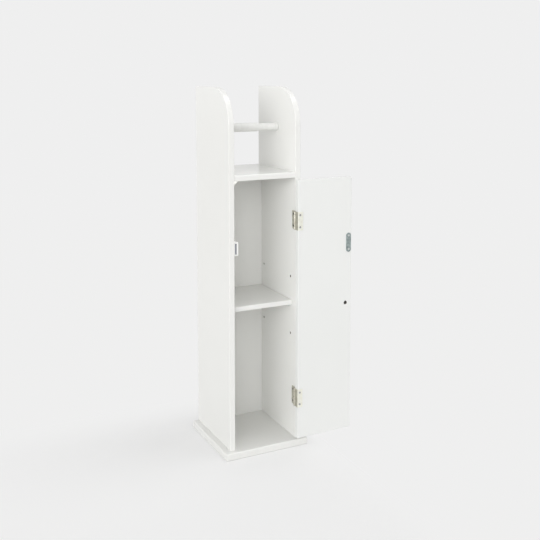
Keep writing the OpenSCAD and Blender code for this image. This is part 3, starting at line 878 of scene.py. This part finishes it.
@dataclass
class Carcass:
    """The fixed boards: base plate, side panels and fixed shelf. A hole is its radius and depth."""

    base_x: float = 96.0
    base_y: float = 95.5
    base_ease: float = 3.0
    corner: float = 80.0
    board_ease: float = 0.9
    shelf_ease: float = 2.5
    shelf_under_ease: float = 0.6
    pin_rows: Pair = (-63.0, 67.4)
    pin_heights: Triple = (244.5, 307.5, 370.5)
    pin_hole: Pair = (2.5, 8.0)
    roller_hole: Pair = (3.05, 6.0)
    hole_rim: float = 0.35
    hole_reach: float = 3.2
    drill_point: Pair = (0.55, 0.6)
    groove: Pair = (79.3, 85.7)
    groove_depth: float = 5.0
    cam_rows: Pair = (-42.5, 53.5)
    cam_x: float = 47.0
    cam_hole: Pair = (6.05, 9.55)
    cam_cross: Pair = (6.4, 3.0)
    screw_rows: Pair = (-48.5, 59.5)
    screw_x: float = 77.0
    screw: CrossScrew = CrossScrew(8.0, 4.0, 44.0)

    def build(self) -> None:
        """Builds the boards and what holds them together."""
        sites = [(x, y, 0.0) for x in both(0.0, self.screw_x) for y in self.screw_rows]
        self.base(sites).dress(Finish.PAINT, "cabinet", "white_paint", "base_plate")
        for side in Side:
            board = self.side(side)
            board.dress(Finish.PAINT, "cabinet", "white_paint", f"{side.name.lower()}_side_panel")
            board.bare(Finish.CORE, self.drilled)
        self.fixed_shelf().dress(Finish.PAINT, "cabinet", "white_paint", "top_shelf")
        self.cams().dress(Finish.CAST, "cabinet", "zinc_fitting", "cam_discs")
        row = self.screw.row("base_screw_row", sites, Facing.DOWN, (12, 71, 38, 55))
        row.dress(Finish.ZINC, "cabinet", "zinc_screw", "base_screws")

    def base(self, sites: Sequence[Triple]) -> Form:
        """Models the base plate, eased at the front and sides.

        Args:
            sites: the screws' heads in its underside.

        Returns:
            The board.
        """
        low = (-self.base_x, -self.base_y, 0.0)
        board = Form.block("base_board", low, (self.base_x, self.base_y, PLAN.base_top))
        board.round_edges(self.on_rim, self.base_ease, 8)
        return self.screw.sink(board, sites, Facing.DOWN)

    def on_rim(self, site: Site) -> bool:
        """Tells whether a level edge of the base plate is at its front or sides."""
        outside = near(site.middle.y, -self.base_y) or near(abs(site.middle.x), self.base_x)
        return outside and not site.runs(2)

    def drilled(self, site: Site) -> bool:
        """Tells whether a face of a side panel is inside one of its holes, below the rim.

        Args:
            site: the face.

        Returns:
            True if it is.
        """
        below = PLAN.inner + self.hole_rim < abs(site.middle.x) < PLAN.outer - self.board_ease
        return below and any(math.dist(site.middle.yz, at) < self.hole_reach for at, _ in self.holes())

    def holes(self) -> list[tuple[Pair, Pair]]:
        """Lists the holes in a side panel's inner face, each with its place, radius and depth."""
        pins = [((y, z), self.pin_hole) for y in self.pin_rows for z in self.pin_heights]
        return [*pins, (PLAN.roller, self.roller_hole)]

    def side(self, side: Side) -> Form:
        """Models a side panel with its quarter-round corner, its holes and its groove.

        Args:
            side: which panel.

        Returns:
            The board.
        """
        name, rim, (share, point) = f"{side.name.lower()}_board", self.hole_rim, self.drill_point
        left, right = side.span(PLAN.inner, PLAN.outer)
        board = Form.block(name, (left, PLAN.front, PLAN.base_top), (right, PLAN.rear, PLAN.top))
        board.round_edges(edges(0, y=PLAN.front, z=PLAN.top), self.corner, 40)
        board.soften(self.board_ease, 3)
        inward = Facing.LEFT if side is Side.RIGHT else Facing.RIGHT
        for place, (radius, depth) in self.holes():
            rings = [(radius * share, -depth - point), (radius, -depth), (radius, -rim)]
            rings += [(radius + rim, rim), (radius + rim, PAST)]
            board.cut(Form.turned("drill", rings, (side.value * PLAN.inner, *place), inward, 32))
        left, right = side.span(PLAN.inner - PAST, PLAN.inner + self.groove_depth)
        low = (left, self.groove[0], PLAN.base_top - PAST)
        return board.cut(Form.block("groove", low, (right, self.groove[1], PLAN.shelf_under)))

    def fixed_shelf(self) -> Form:
        """Models the fixed shelf with its eased front edge and its cam holes.

        Returns:
            The board.
        """
        low = (-PLAN.inner, PLAN.front, PLAN.shelf_under)
        board = Form.block("fixed_board", low, (PLAN.inner, PLAN.rear, PLAN.shelf_top))
        board.round_edges(edges(0, y=PLAN.front, z=PLAN.shelf_top), self.shelf_ease, 8)
        board.round_edges(edges(0, y=PLAN.front, z=PLAN.shelf_under), self.shelf_under_ease, 3)
        radius, depth = self.cam_hole
        rings = [(radius, -depth), (radius, PAST)]
        return board.cut(*(Form.turned("cam_drill", rings, at, Facing.DOWN) for at in self.cam_sites()))

    def cam_sites(self) -> list[Triple]:
        """Lists the cams' places, left before right."""
        return [(x, y, PLAN.shelf_under) for x in both(0.0, self.cam_x) for y in self.cam_rows]

    def cams(self) -> Form:
        """Models a cam with its cross slot and ring, and sets four of them under the fixed shelf.

        Returns:
            The four cams as one piece.
        """
        rings = [(5.6, -9.5), (6.0, -9.1), (6.0, -0.4), (5.7, 0.0)]
        rings += [(5.1, 0.0), (4.9, -0.3), (3.9, -0.3), (3.7, 0.0)]
        master = Form.turned("cam", rings).cut(*CrossScrew.recess(*self.cam_cross))
        return master.spread("cam_0", self.cam_sites(), Facing.DOWN, (20, 65, 35, 80))


@dataclass
class MiddleShelf:
    """The loose shelf on its four pins."""

    half_width: float = 70.5
    front: float = -71.5
    rear: float = 78.9
    under: float = 310.25
    thick: float = 10.0
    nose: float = 2.5
    ease: float = 0.4

    def build(self) -> None:
        """Builds the shelf."""
        top = self.under + self.thick
        low = (-self.half_width, self.front, self.under)
        board = Form.block("loose_board", low, (self.half_width, self.rear, top))
        board.round_edges(edges(0, y=self.front, z=top), self.nose, 6).soften(self.ease)
        board.dress(Finish.PAINT, "shelf", "white_paint", "middle_shelf")


# Door and its fittings


@dataclass
class Door:
    """The inset door, its turned knob and the strike plate, all modelled shut and then opened."""

    left: float = -66.0
    bottom: float = 20.5
    top: float = 585.0
    ease: float = 0.8
    knob_at: Pair = (-52.0, 305.75)
    knob_length: float = 24.0
    knob_dome: float = 21.53
    recess: Pair = (4.0, 6.5)
    recess_rim: float = 0.3
    screw_depth: float = 4.1
    screw_cross: Pair = (3.8, 1.7)
    strike_at: Pair = (-58.75, 440.0)
    strike_half: float = 21.25
    strike_width: float = 12.5
    strike_thick: float = 1.0
    strike_ease: float = 0.2
    strike_pitch: float = 30.0
    strike_screw: CrossScrew = CrossScrew(5.0, 2.6, 9.0)

    def build(self) -> None:
        """Builds the door and its fittings."""
        leaf = self.leaf().place(PLAN.open_door())
        # The door takes the cooler copy of the white paint: painted light on its front
        leaf.dress(Finish.DOOR_PAINT, "door", "white_paint", "door").bare(Finish.CORE, self.recessed)
        self.knob().place(PLAN.open_door()).dress(Finish.NICKEL, "door", "satin_nickel", "door_knob")
        head = self.knob_screw().place(PLAN.open_door())
        # The screw at the bottom of the recess takes the near-black zinc: painted shade in the recess
        head.dress(Finish.SHADED_ZINC, "door", "zinc_screw", "knob_screw")
        self.strike()

    def recessed(self, site: Site) -> bool:
        """Tells whether a face of the open door is inside the recess of the knob's screw.

        Args:
            site: the face.

        Returns:
            True if it is.
        """
        x, z = self.knob_at
        away = site.middle - PLAN.open_door() @ (Vector((x, PLAN.door_inner, z)) * MM) / MM
        return away.y > self.recess_rim and away.xz.length < self.recess[0] + self.recess_rim

    def leaf(self) -> Form:
        """Models the door board with the recess of the knob's screw.

        Returns:
            The board.
        """
        low = (self.left, PLAN.front, self.bottom)
        board = Form.block("door_board", low, (PLAN.door_edge, PLAN.door_inner, self.top))
        board.soften(self.ease, 3)
        (x, z), (radius, depth), rim = self.knob_at, self.recess, self.recess_rim
        rings = [(radius, -depth), (radius, -rim), (radius + rim, 0.0), (radius + rim, PAST)]
        return board.cut(Form.turned("recess", rings, (x, PLAN.door_inner, z), Facing.BACK))

    def knob(self) -> Form:
        """Models the knob: a flared foot, a waist and a domed head.

        Returns:
            The turned knob.
        """
        foot = [(6.2, 0.0), (6.5, 0.3), (6.5, 1.7), (6.3, 2.0), (5.6, 2.6), (5.15, 3.5)]
        waist = [(5.0, 4.5), (5.0, 6.6), (5.15, 7.3), (9.2, 9.0)]
        flank = [*arc((9.5, 12.12), 3.0, -90.0, 0.0, 6), (12.5, 19.4), *arc((11.9, 19.4), 0.6, 15.0, 60.0, 3)]
        dome = arc((0.0, self.knob_length - self.knob_dome), self.knob_dome, 57.0, 88.0, 11)
        x, z = self.knob_at
        rings = foot + waist + flank + dome
        return Form.turned("turned_knob", rings, (x, PLAN.front, z), Facing.FRONT, 64)

    def knob_screw(self) -> Form:
        """Models the pan-head screw at the bottom of the recess.

        Returns:
            The screw.
        """
        x, z = self.knob_at
        rings = [(1.9, -15.0), (2.0, -14.6), (2.0, -2.4), (3.5, -2.4), (3.5, -0.9)]
        rings += [(3.3, -0.45), (2.7, -0.12), (1.9, 0.0), (1.2, 0.0)]
        head = Form.turned("knob_fixing", rings, sides=40).cut(*CrossScrew.recess(*self.screw_cross))
        return head.place(Facing.BACK.matrix((x, PLAN.door_inner - self.screw_depth, z)))

    def strike(self) -> None:
        """Builds the round-ended plate that the catch holds, with its screws."""
        face, half = PLAN.door_inner + self.strike_thick, self.strike_width / 2
        x, z = self.strike_at
        low = (x - half, PLAN.door_inner, z - self.strike_half)
        plate = Form.block("strike_leaf", low, (x + half, face, z + self.strike_half))
        plate.round_edges(edges(1), half - 0.02, 14).soften(self.strike_ease)
        sites = [(x, face, place) for place in both(z, self.strike_pitch / 2)]
        self.strike_screw.sink(plate, sites, Facing.BACK).place(PLAN.open_door())
        plate.dress(Finish.STRIKE, "door", "plate_steel", "strike_plate")
        row = self.strike_screw.row("strike_screw_row", sites, Facing.BACK, (25, 60))
        row.place(PLAN.open_door()).dress(Finish.BRIGHT, "door", "zinc_screw", "strike_screws")


@dataclass
class Hinge:
    """A five-knuckle hinge: a leaf on the side panel, a leaf that wraps onto the door, and a headed pin."""

    name: str
    middle: float
    height: float = 39.5
    leaf: float = 0.9
    wrap: float = 11.0
    leaf_front: float = -84.2
    leaf_rear: float = -71.5
    corner: float = 1.5
    fold: float = 0.85
    ease: float = 0.12
    knuckles: int = 5
    knuckle: float = 7.66
    pitch: float = 7.96
    bore: float = 1.55
    radius: float = 2.5
    roll_ease: float = 0.4
    slit: float = 0.24
    frame_seam: float = 215.0
    door_seam: float = 150.0
    tab_rear: float = -84.1
    door_tab_front: float = -85.275
    tab_ease: float = 0.15
    tab_reach: float = 3.1
    screw_rise: float = 13.0
    frame_screw_y: float = -77.35
    door_screw_x: float = 64.42
    screw: CrossScrew = CrossScrew(4.6, 2.4, 10.0)

    def build(self) -> None:
        """Builds both leaves, their screws and the pin."""
        leaf = self.frame_leaf()
        # The side panel's leaf takes the darker copy of the hinge metal: painted shade
        leaf.dress(Finish.FRAME_LEAF, "cabinet", "hinge_metal", f"{self.name}_frame_leaf")
        leaf.bare(Finish.BARREL, self.in_barrel)
        leaf = self.door_leaf().place(PLAN.open_door())
        leaf.dress(Finish.DOOR_LEAF, "door", "hinge_metal", f"{self.name}_door_leaf")
        # The faces that turn left on the open door take the darker brass: painted shade on the leaf's bend
        leaf.bare(Finish.BEND, lambda site: site.faces(Facing.LEFT)).bare(Finish.BARREL, self.in_barrel)
        self.pin().dress(Finish.HINGE_PIN, "cabinet", "hinge_pin_steel", f"{self.name}_hinge_pin")
        row = self.screw.row(f"{self.name}_frame_screw_row", self.frame_sites(), Facing.LEFT, (20, 50))
        # These screws take the near-black zinc: painted shade on the shaded leaf
        row.dress(Finish.SHADED_ZINC, "cabinet", "zinc_screw", "frame_leaf_screws")
        row = self.screw.row(f"{self.name}_door_screw_row", self.door_sites(), Facing.BACK, (65, 30))
        row.place(PLAN.open_door()).dress(Finish.ZINC, "door", "zinc_screw", "door_leaf_screws")

    def in_barrel(self, site: Site) -> bool:
        """Tells whether a face is on a knuckle or its tab."""
        return math.dist(site.middle.xy, PLAN.pivot) < self.tab_reach

    def low(self) -> float:
        """Gives the height of the lowest knuckle's foot."""
        return self.middle - self.height / 2

    def frame_sites(self) -> list[Triple]:
        """Lists the heads of the screws in the leaf on the side panel."""
        x = PLAN.inner - self.leaf
        return [(x, self.frame_screw_y, z) for z in both(self.middle, self.screw_rise)]

    def door_sites(self) -> list[Triple]:
        """Lists the heads of the screws in the leaf on the door."""
        y = PLAN.door_inner + self.leaf
        return [(self.door_screw_x, y, z) for z in both(self.middle, self.screw_rise)]

    def roll(self, seam: float) -> Form:
        """Models a rolled knuckle with its seam.

        Args:
            seam: where the rolled edge ends, in degrees about the barrel.

        Returns:
            The knuckle, at the origin.
        """
        bore, radius, ease = self.bore, self.radius, self.roll_ease
        rings = [(bore, 0.0), (radius - ease, 0.0), (radius, ease), (radius, self.knuckle - ease)]
        rings += [(radius - ease, self.knuckle), (bore, self.knuckle), (bore, 0.0)]
        low = (bore - 0.4, -self.slit / 2, -PAST)
        slit = Form.block("slit", low, (radius + PAST, self.slit / 2, self.knuckle + PAST))
        slit.place(Matrix.Rotation(math.radians(seam), 4, "Z"))
        return Form.turned("knuckle", rings, sides=40, hollow=True).cut(slit)

    def knuckled(self, leaf: Form, first: int, seam: float, low: Pair, high: Pair) -> Form:
        """Gives a leaf every second knuckle, each with the tab that it is rolled from.

        Args:
            leaf: the flat leaf.
            first: its lowest knuckle's place in the barrel.
            seam: where the rolled edges end, in degrees about the barrel.
            low: the tabs' lowest corner, seen from above.
            high: their highest corner.

        Returns:
            The leaf.
        """
        feet = [self.low() + place * self.pitch for place in range(first, self.knuckles, 2)]
        tab = Form.block("tab", (*low, 0.0), (*high, self.knuckle)).round_edges(edges(1), self.tab_ease, 2)
        tabs = tab.spread("tab_0", [(0.0, 0.0, foot) for foot in feet], Facing.UP, [0.0] * len(feet))
        sites = [(*PLAN.pivot, foot) for foot in feet]
        rolls = self.roll(seam).spread("knuckle_0", sites, Facing.UP, [0.0] * len(feet))
        return leaf.join(tabs, rolls)

    def frame_leaf(self) -> Form:
        """Models the leaf on the side panel, with the outer knuckles.

        Returns:
            The leaf.
        """
        inside, high = PLAN.inner - self.leaf, self.low() + self.height
        corner = (inside, self.leaf_front, self.low())
        leaf = Form.block(f"{self.name}_side_leaf", corner, (PLAN.inner, self.leaf_rear, high))
        leaf.round_edges(edges(0, y=self.leaf_rear), self.corner, 6).soften(self.ease)
        self.screw.sink(leaf, self.frame_sites(), Facing.LEFT)
        low, high = (inside, PLAN.pivot[1]), (PLAN.inner, self.tab_rear)
        return self.knuckled(leaf, 0, self.frame_seam, low, high)

    def door_leaf(self) -> Form:
        """Models the leaf that runs along the door's edge and folds onto its inner face.

        Returns:
            The leaf, with the inner knuckles, on the shut door.
        """
        face, high = PLAN.door_inner + self.leaf, self.low() + self.height
        edge, outer = PLAN.door_edge, PLAN.door_edge + self.leaf
        corner = (edge - self.wrap, PLAN.door_inner, self.low())
        leaf = Form.block(f"{self.name}_wrap_leaf", corner, (outer, face, high))
        leaf.split((edge, 0.0, 0.0), (1, 0, 0))
        run = (0.0, self.leaf_front - PLAN.door_inner, 0.0)
        leaf.push(lambda site: site.faces(Facing.FRONT) and site.middle.x > edge, run)
        leaf.round_edges(edges(2, x=outer, y=face), self.fold, 6)
        leaf.round_edges(edges(1, x=edge - self.wrap), self.corner, 6).soften(self.ease)
        self.screw.sink(leaf, self.door_sites(), Facing.BACK)
        low, high = (edge, self.door_tab_front), (outer, self.tab_rear)
        return self.knuckled(leaf, 1, self.door_seam, low, high)

    def pin(self) -> Form:
        """Models the headed pin.

        Returns:
            The pin.
        """
        head = [(2.1, 0.3), (1.8, 0.58), (1.2, 0.7)]
        rings = [(radius, -rise) for radius, rise in reversed(head)] + [(2.1, 0.0), (1.5, 0.0)]
        rings += [(1.5, self.height), (2.1, self.height)]
        rings += [(radius, self.height + rise) for radius, rise in head]
        return Form.turned(f"{self.name}_pin", rings, (*PLAN.pivot, self.low()), sides=40)


@dataclass
class Catch:
    """The magnetic catch on the left side panel. Widths are measured from the panel."""

    y: float = -71.2
    z: float = 444.0
    depth: float = 14.0
    foot: float = 2.2
    foot_half: float = 23.0
    body_half: float = 14.5
    reach: float = 14.6
    pocket: Pair = (7.0, 10.8)
    pocket_depth: float = 10.0
    magnet: Pair = (7.8, 10.0)
    magnet_half: float = 11.5
    magnet_back: float = 0.2
    magnet_ease: float = 0.35
    pole_ease: float = 0.2
    nose: float = 1.0
    corner: float = 2.0
    ease: float = 0.25
    screw_rise: float = 19.25
    screw: CrossScrew = CrossScrew(5.0, 2.6, 10.0)

    def build(self) -> None:
        """Builds the moulding, the magnet, its pole plates and the screws."""
        face, middle = self.foot - PLAN.inner, self.y + self.depth / 2
        sites = [(face, middle, z) for z in both(self.z, self.screw_rise)]
        self.moulding(sites).dress(Finish.PLASTIC, "cabinet", "white_plastic", "catch_body")
        magnet = self.core("magnet_core", self.magnet, self.magnet_back, self.magnet_ease)
        magnet.dress(Finish.FERRITE, "cabinet", "magnet", "catch_magnet")
        poles = self.core("pole_pair", (self.pocket[0], self.magnet[0]), 0.0, self.pole_ease)
        poles.join(self.core("pole_right", (self.magnet[1], self.pocket[1]), 0.0, self.pole_ease))
        poles.dress(Finish.STRIKE, "cabinet", "plate_steel", "catch_pole_plates")
        row = self.screw.row("catch_screw_row", sites, Facing.RIGHT, (15, 48))
        row.dress(Finish.ZINC, "cabinet", "zinc_screw", "catch_screws")

    def core(self, name: str, span: Pair, back: float, ease: float) -> Form:
        """Models an eased bar in the pocket.

        Args:
            name: the piece's name.
            span: its start and end, measured from the side panel.
            back: how far it stands back from the housing's face.
            ease: the easing of its edges.

        Returns:
            The bar.
        """
        low = (span[0] - PLAN.inner, self.y + back, self.z - self.magnet_half)
        high = (span[1] - PLAN.inner, self.y + self.pocket_depth, self.z + self.magnet_half)
        return Form.block(name, low, high).soften(ease)

    def moulding(self, sites: Sequence[Triple]) -> Form:
        """Models the foot and the housing in one moulding.

        Args:
            sites: where the screws' heads are.

        Returns:
            The moulding.
        """
        z, half, wall = self.z, self.body_half, -PLAN.inner
        high = (wall + self.foot, self.y + self.depth, z + self.foot_half)
        shell = Form.block("catch_moulding", (wall, self.y, z - self.foot_half), high)
        shell.split((0.0, 0.0, z - half), (0, 0, 1)).split((0.0, 0.0, z + half), (0, 0, 1))
        rise = (self.reach - self.foot, 0.0, 0.0)
        shell.push(lambda site: site.faces(Facing.RIGHT) and near(site.middle.z, z), rise)
        shell.round_edges(lambda site: near(site.middle.x, wall + self.reach), self.nose, 4)
        for end in both(z, self.foot_half):
            shell.round_edges(edges(0, z=end), self.corner, 5)
        shell.soften(self.ease)
        low = (wall + self.pocket[0], self.y - PAST, z - self.magnet_half)
        high = (wall + self.pocket[1], self.y + self.pocket_depth, z + self.magnet_half)
        return self.screw.sink(shell.cut(Form.block("pocket", low, high)), sites, Facing.RIGHT)


@dataclass
class DoorStop:
    """The three-cornered block under the fixed shelf."""

    leg: float = 14.0
    toe: float = 1.0
    front: float = -72.2
    depth: float = 12.0
    ease: float = 0.4
    screw_x: float = 4.0
    screw_drop: float = 5.6
    bore: float = 2.55
    screw: CrossScrew = CrossScrew(5.0, 2.6, 15.0)

    def build(self) -> None:
        """Builds the block and its screw."""
        top, wall = PLAN.shelf_under, -PLAN.inner
        high = (wall + self.leg, self.front + self.depth, top)
        block = Form.block("stop_block", (wall, self.front, top - self.leg), high)
        block.split((wall + self.leg, 0.0, top - self.toe), (1, 0, -1), trim=True)
        block.soften(self.ease, 3, 30.0)
        site = (wall + self.screw_x, self.front + self.depth / 2, top - self.screw_drop)
        block.cut(Form.turned("stop_drill", [(self.bore, -0.01), (self.bore, 20.0)], site, Facing.RIGHT, 32))
        self.screw.sink(block, [site], Facing.RIGHT)
        block.dress(Finish.STOP, "cabinet", "white_plastic", "door_stop")
        row = self.screw.row("stop_screw", [site], Facing.RIGHT, (33,))
        row.dress(Finish.ZINC, "cabinet", "zinc_screw", "door_stop_screw")


@dataclass
class Roller:
    """The sprung two-part roller in the bay: a sleeve, and a plunger that slides in it."""

    end: float = 70.6
    pin: float = 3.0
    pin_length: float = 5.0
    pin_ease: float = 0.5
    sleeve: float = 9.5
    rim: float = 0.8
    bevel: float = 0.24
    bore: float = 8.05
    bore_ease: float = 0.2
    end_wall: float = 3.0
    tube: float = 8.0
    tube_ease: float = 0.5
    mouth: float = 22.6
    mouth_ease: float = 0.4
    cap: float = 6.0
    cap_ease: float = 0.3
    stem: float = 76.0
    groove_start: float = 3.8
    groove_count: int = 3
    groove_pitch: float = 2.4

    def build(self) -> None:
        """Builds both parts of the roller."""
        at, end, rim, bevel = (0.0, *PLAN.roller), self.end, self.rim, self.bevel
        tip, radius = end + self.pin_length, self.sleeve
        rings = [(self.pin - self.pin_ease, -tip), (self.pin, self.pin_ease - tip), (self.pin, -end)]
        rings += [(radius - rim, -end), (radius - bevel, bevel - end), (radius, rim - end)]
        rings += [*self.grooves(self.groove_start - end), (radius, self.mouth - self.mouth_ease)]
        rings += [(radius - self.mouth_ease, self.mouth), (self.bore + self.bore_ease, self.mouth)]
        rings += [(self.bore, self.mouth - self.bore_ease), (self.bore, self.end_wall - end)]
        sleeve = Form.turned("roller_tube", rings, at, Facing.RIGHT, 64)
        sleeve.dress(Finish.ROLLER, "roller", "roller_plastic", "roller_sleeve")
        start, cap = end - self.cap - self.stem, end - self.cap
        rings = [(self.tube - self.tube_ease, start), (self.tube, start + self.tube_ease), (self.tube, cap)]
        rings += [(radius - self.cap_ease, cap), (radius, cap + self.cap_ease), (radius, end - rim)]
        rings += [(radius - bevel, end - bevel), (radius - rim, end), (self.pin, end)]
        rings += [(self.pin, tip - self.pin_ease), (self.pin - self.pin_ease, tip)]
        plunger = Form.turned("roller_slide", rings, at, Facing.RIGHT, 64)
        plunger.dress(Finish.ROLLER, "plunger", "roller_plastic", "roller_plunger")

    def grooves(self, start: float) -> list[Pair]:
        """Lists the rings of the grip grooves near the sleeve's closed end.

        Args:
            start: where the first groove begins along the axis.

        Returns:
            Their rings.
        """
        outline = [(0.0, 0.0), (0.35, 0.3), (0.35, 0.9), (0.0, 1.2)]
        feet = [start + index * self.groove_pitch for index in range(self.groove_count)]
        return [(self.sleeve - depth, foot + along) for foot in feet for depth, along in outline]


# Studio


@dataclass
class Studio:
    """A pale floor, soft daylight and the camera."""

    backdrop: float = 0.864
    sky: float = 0.565
    floor: Triple = (0.864, 0.864, 0.862)
    boards: Triple = (0.96, 0.96, 0.958)
    bounce: Triple = (0.68, 0.68, 0.67)
    wash: float = 0.4
    floor_size: float = 14.0
    lens: float = 55.137
    lens_shift: Pair = (0.0002, -0.2185)
    stand: Triple = (-0.75567, -1.61768, 0.80976)
    pitch: float = -5.4835
    yaw: float = -26.5498

    def build(self) -> None:
        """Sets the stage."""
        self.camera()
        self.world()
        self.ground()
        self.sun("high_light", (0.957, -0.29), 68.0, 30.0, 0.2)
        self.sun("side_light", (-0.906, -0.423), 8.0, 40.0, 0.29)
        self.sun("front_light", (-0.643, -0.766), 8.0, 40.0, 0.34)
        self.sun("fill_light", (-0.17, -0.985), 18.0, 40.0, 0.075)
        bpy.context.scene.view_settings.view_transform = "Standard"

    def camera(self) -> None:
        """Sets the camera at the photograph's angle."""
        data = bpy.data.cameras.new("camera")
        data.lens = self.lens
        data.sensor_width = 36.0
        data.shift_x, data.shift_y = self.lens_shift
        data.clip_start = 0.05
        data.clip_end = 60.0
        camera = bpy.data.objects.new("camera", data)
        camera.location = self.stand
        camera.rotation_euler = [math.radians(angle) for angle in (90 + self.pitch, 0.0, self.yaw)]
        bpy.context.collection.objects.link(camera)
        bpy.context.scene.camera = camera

    def world(self) -> None:
        """Lights the room evenly, and shows the pale backdrop to the camera and in reflections."""
        world = bpy.data.worlds.new("room")
        world.use_nodes = True
        bpy.context.scene.world = world
        graph = Graph(world.node_tree)
        rays = ("Is Camera Ray", "Is Glossy Ray", "Is Transmission Ray")
        camera, glossy, through = (graph.node("ShaderNodeLightPath", output=ray) for ray in rays)
        white, shown = (1.0, 1.0, 1.0, 1.0), (self.backdrop, self.backdrop, self.backdrop, 1.0)
        light = graph.node("ShaderNodeBackground", None, {"Color": white, "Strength": self.sky})
        pale = graph.node("ShaderNodeBackground", None, {"Color": shown, "Strength": 1.0})
        seen = camera.larger(glossy).larger(through)
        mixed = graph.node("ShaderNodeMixShader", None, {0: seen, 1: light, 2: pale})
        graph.node("ShaderNodeOutputWorld", None, {"Surface": mixed})

    def ground(self) -> None:
        """Lays the floor, which fades into the backdrop far behind the cabinet."""
        bpy.ops.object.select_all(action="DESELECT")
        bpy.ops.mesh.primitive_grid_add(x_subdivisions=8, y_subdivisions=8, size=self.floor_size)
        floor = bpy.context.object
        floor.name = "studio_floor"
        material, graph = new_graph("studio_floor")
        spot = graph.where()
        far = graph.node("ShaderNodeVectorMath", {"operation": "LENGTH"}, {0: spot}, "Value").ramp(1.5, 4.0)
        camera, glossy = (
            graph.node("ShaderNodeLightPath", output=ray) for ray in ("Is Camera Ray", "Is Glossy Ray")
        )
        across, along = (graph.node("ShaderNodeSeparateXYZ", None, {0: spot}, axis) for axis in "XY")
        shaded = (1.0 - across.ramp(0.05, 0.14)) * (1.0 - along.ramp(0.09, 0.26))
        darker = tuple(value * 0.995 for value in self.boards)
        boards = graph.blend(graph.noise(spot, 3.0, 2.0), self.boards, darker)
        matt = graph.node("ShaderNodeBsdfDiffuse", None, {"Color": boards})
        glow = graph.node("ShaderNodeEmission", None, {"Color": (*self.floor, 1.0), "Strength": 1.0})
        washed = 1.0 - shaded * (1.0 - self.wash)
        pale = graph.node("ShaderNodeMixShader", None, {0: washed, 1: matt, 2: glow})
        bounce = graph.node("ShaderNodeBsdfDiffuse", None, {"Color": (*self.bounce, 1.0)})
        lit = graph.node("ShaderNodeMixShader", None, {0: camera.larger(glossy), 1: bounce, 2: pale})
        clear = graph.node("ShaderNodeBsdfTransparent")
        mixed = graph.node("ShaderNodeMixShader", None, {0: far * camera, 1: lit, 2: clear})
        graph.node("ShaderNodeOutputMaterial", None, {"Surface": mixed})
        floor.data.materials.append(material)

    def sun(self, name: str, toward: Pair, height: float, spread: float, level: float) -> None:
        """Hangs a broad distant lamp.

        Args:
            name: the lamp's name.
            toward: its direction on the floor, from the cabinet.
            height: its height above the horizon, in degrees.
            spread: the angle that it fills, in degrees.
            level: how bright it makes a white board that faces it.
        """
        data = bpy.data.lights.new(name, "SUN")
        data.energy = level * math.pi
        data.angle = math.radians(spread)
        lamp = bpy.data.objects.new(name, data)
        flat = Vector((*toward, 0.0)).normalized() * math.cos(math.radians(height))
        source = flat + Vector((0, 0, math.sin(math.radians(height))))
        lamp.rotation_euler = source.to_track_quat("Z", "Y").to_euler()
        bpy.context.collection.objects.link(lamp)


def dress_nodes() -> None:
    """Gives the nodes that stay their finishes."""
    kept = {
        "back_panel": Finish.PAINT,
        "shelf_pins": Finish.BRIGHT,
        "roller_spring": Finish.SPRING,
        "cam_bolts": Finish.ZINC,
        "dowels": Finish.BEECH,
    }
    for name, finish in kept.items():
        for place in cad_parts[name].material_slots:
            place.material = finish.material()
        LOG.info("%s: kept", name)


def main() -> None:
    """Builds the cabinet and its studio."""
    logging.basicConfig(level=logging.INFO, format="%(name)s: %(message)s")
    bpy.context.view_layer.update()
    hinges = [Hinge("upper", 497.0), Hinge("lower", 110.0)]
    for assembly in (Studio(), Carcass(), MiddleShelf(), Door(), *hinges, Catch(), DoorStop(), Roller()):
        assembly.build()
    dress_nodes()


if __name__ == "__main__":
    main()
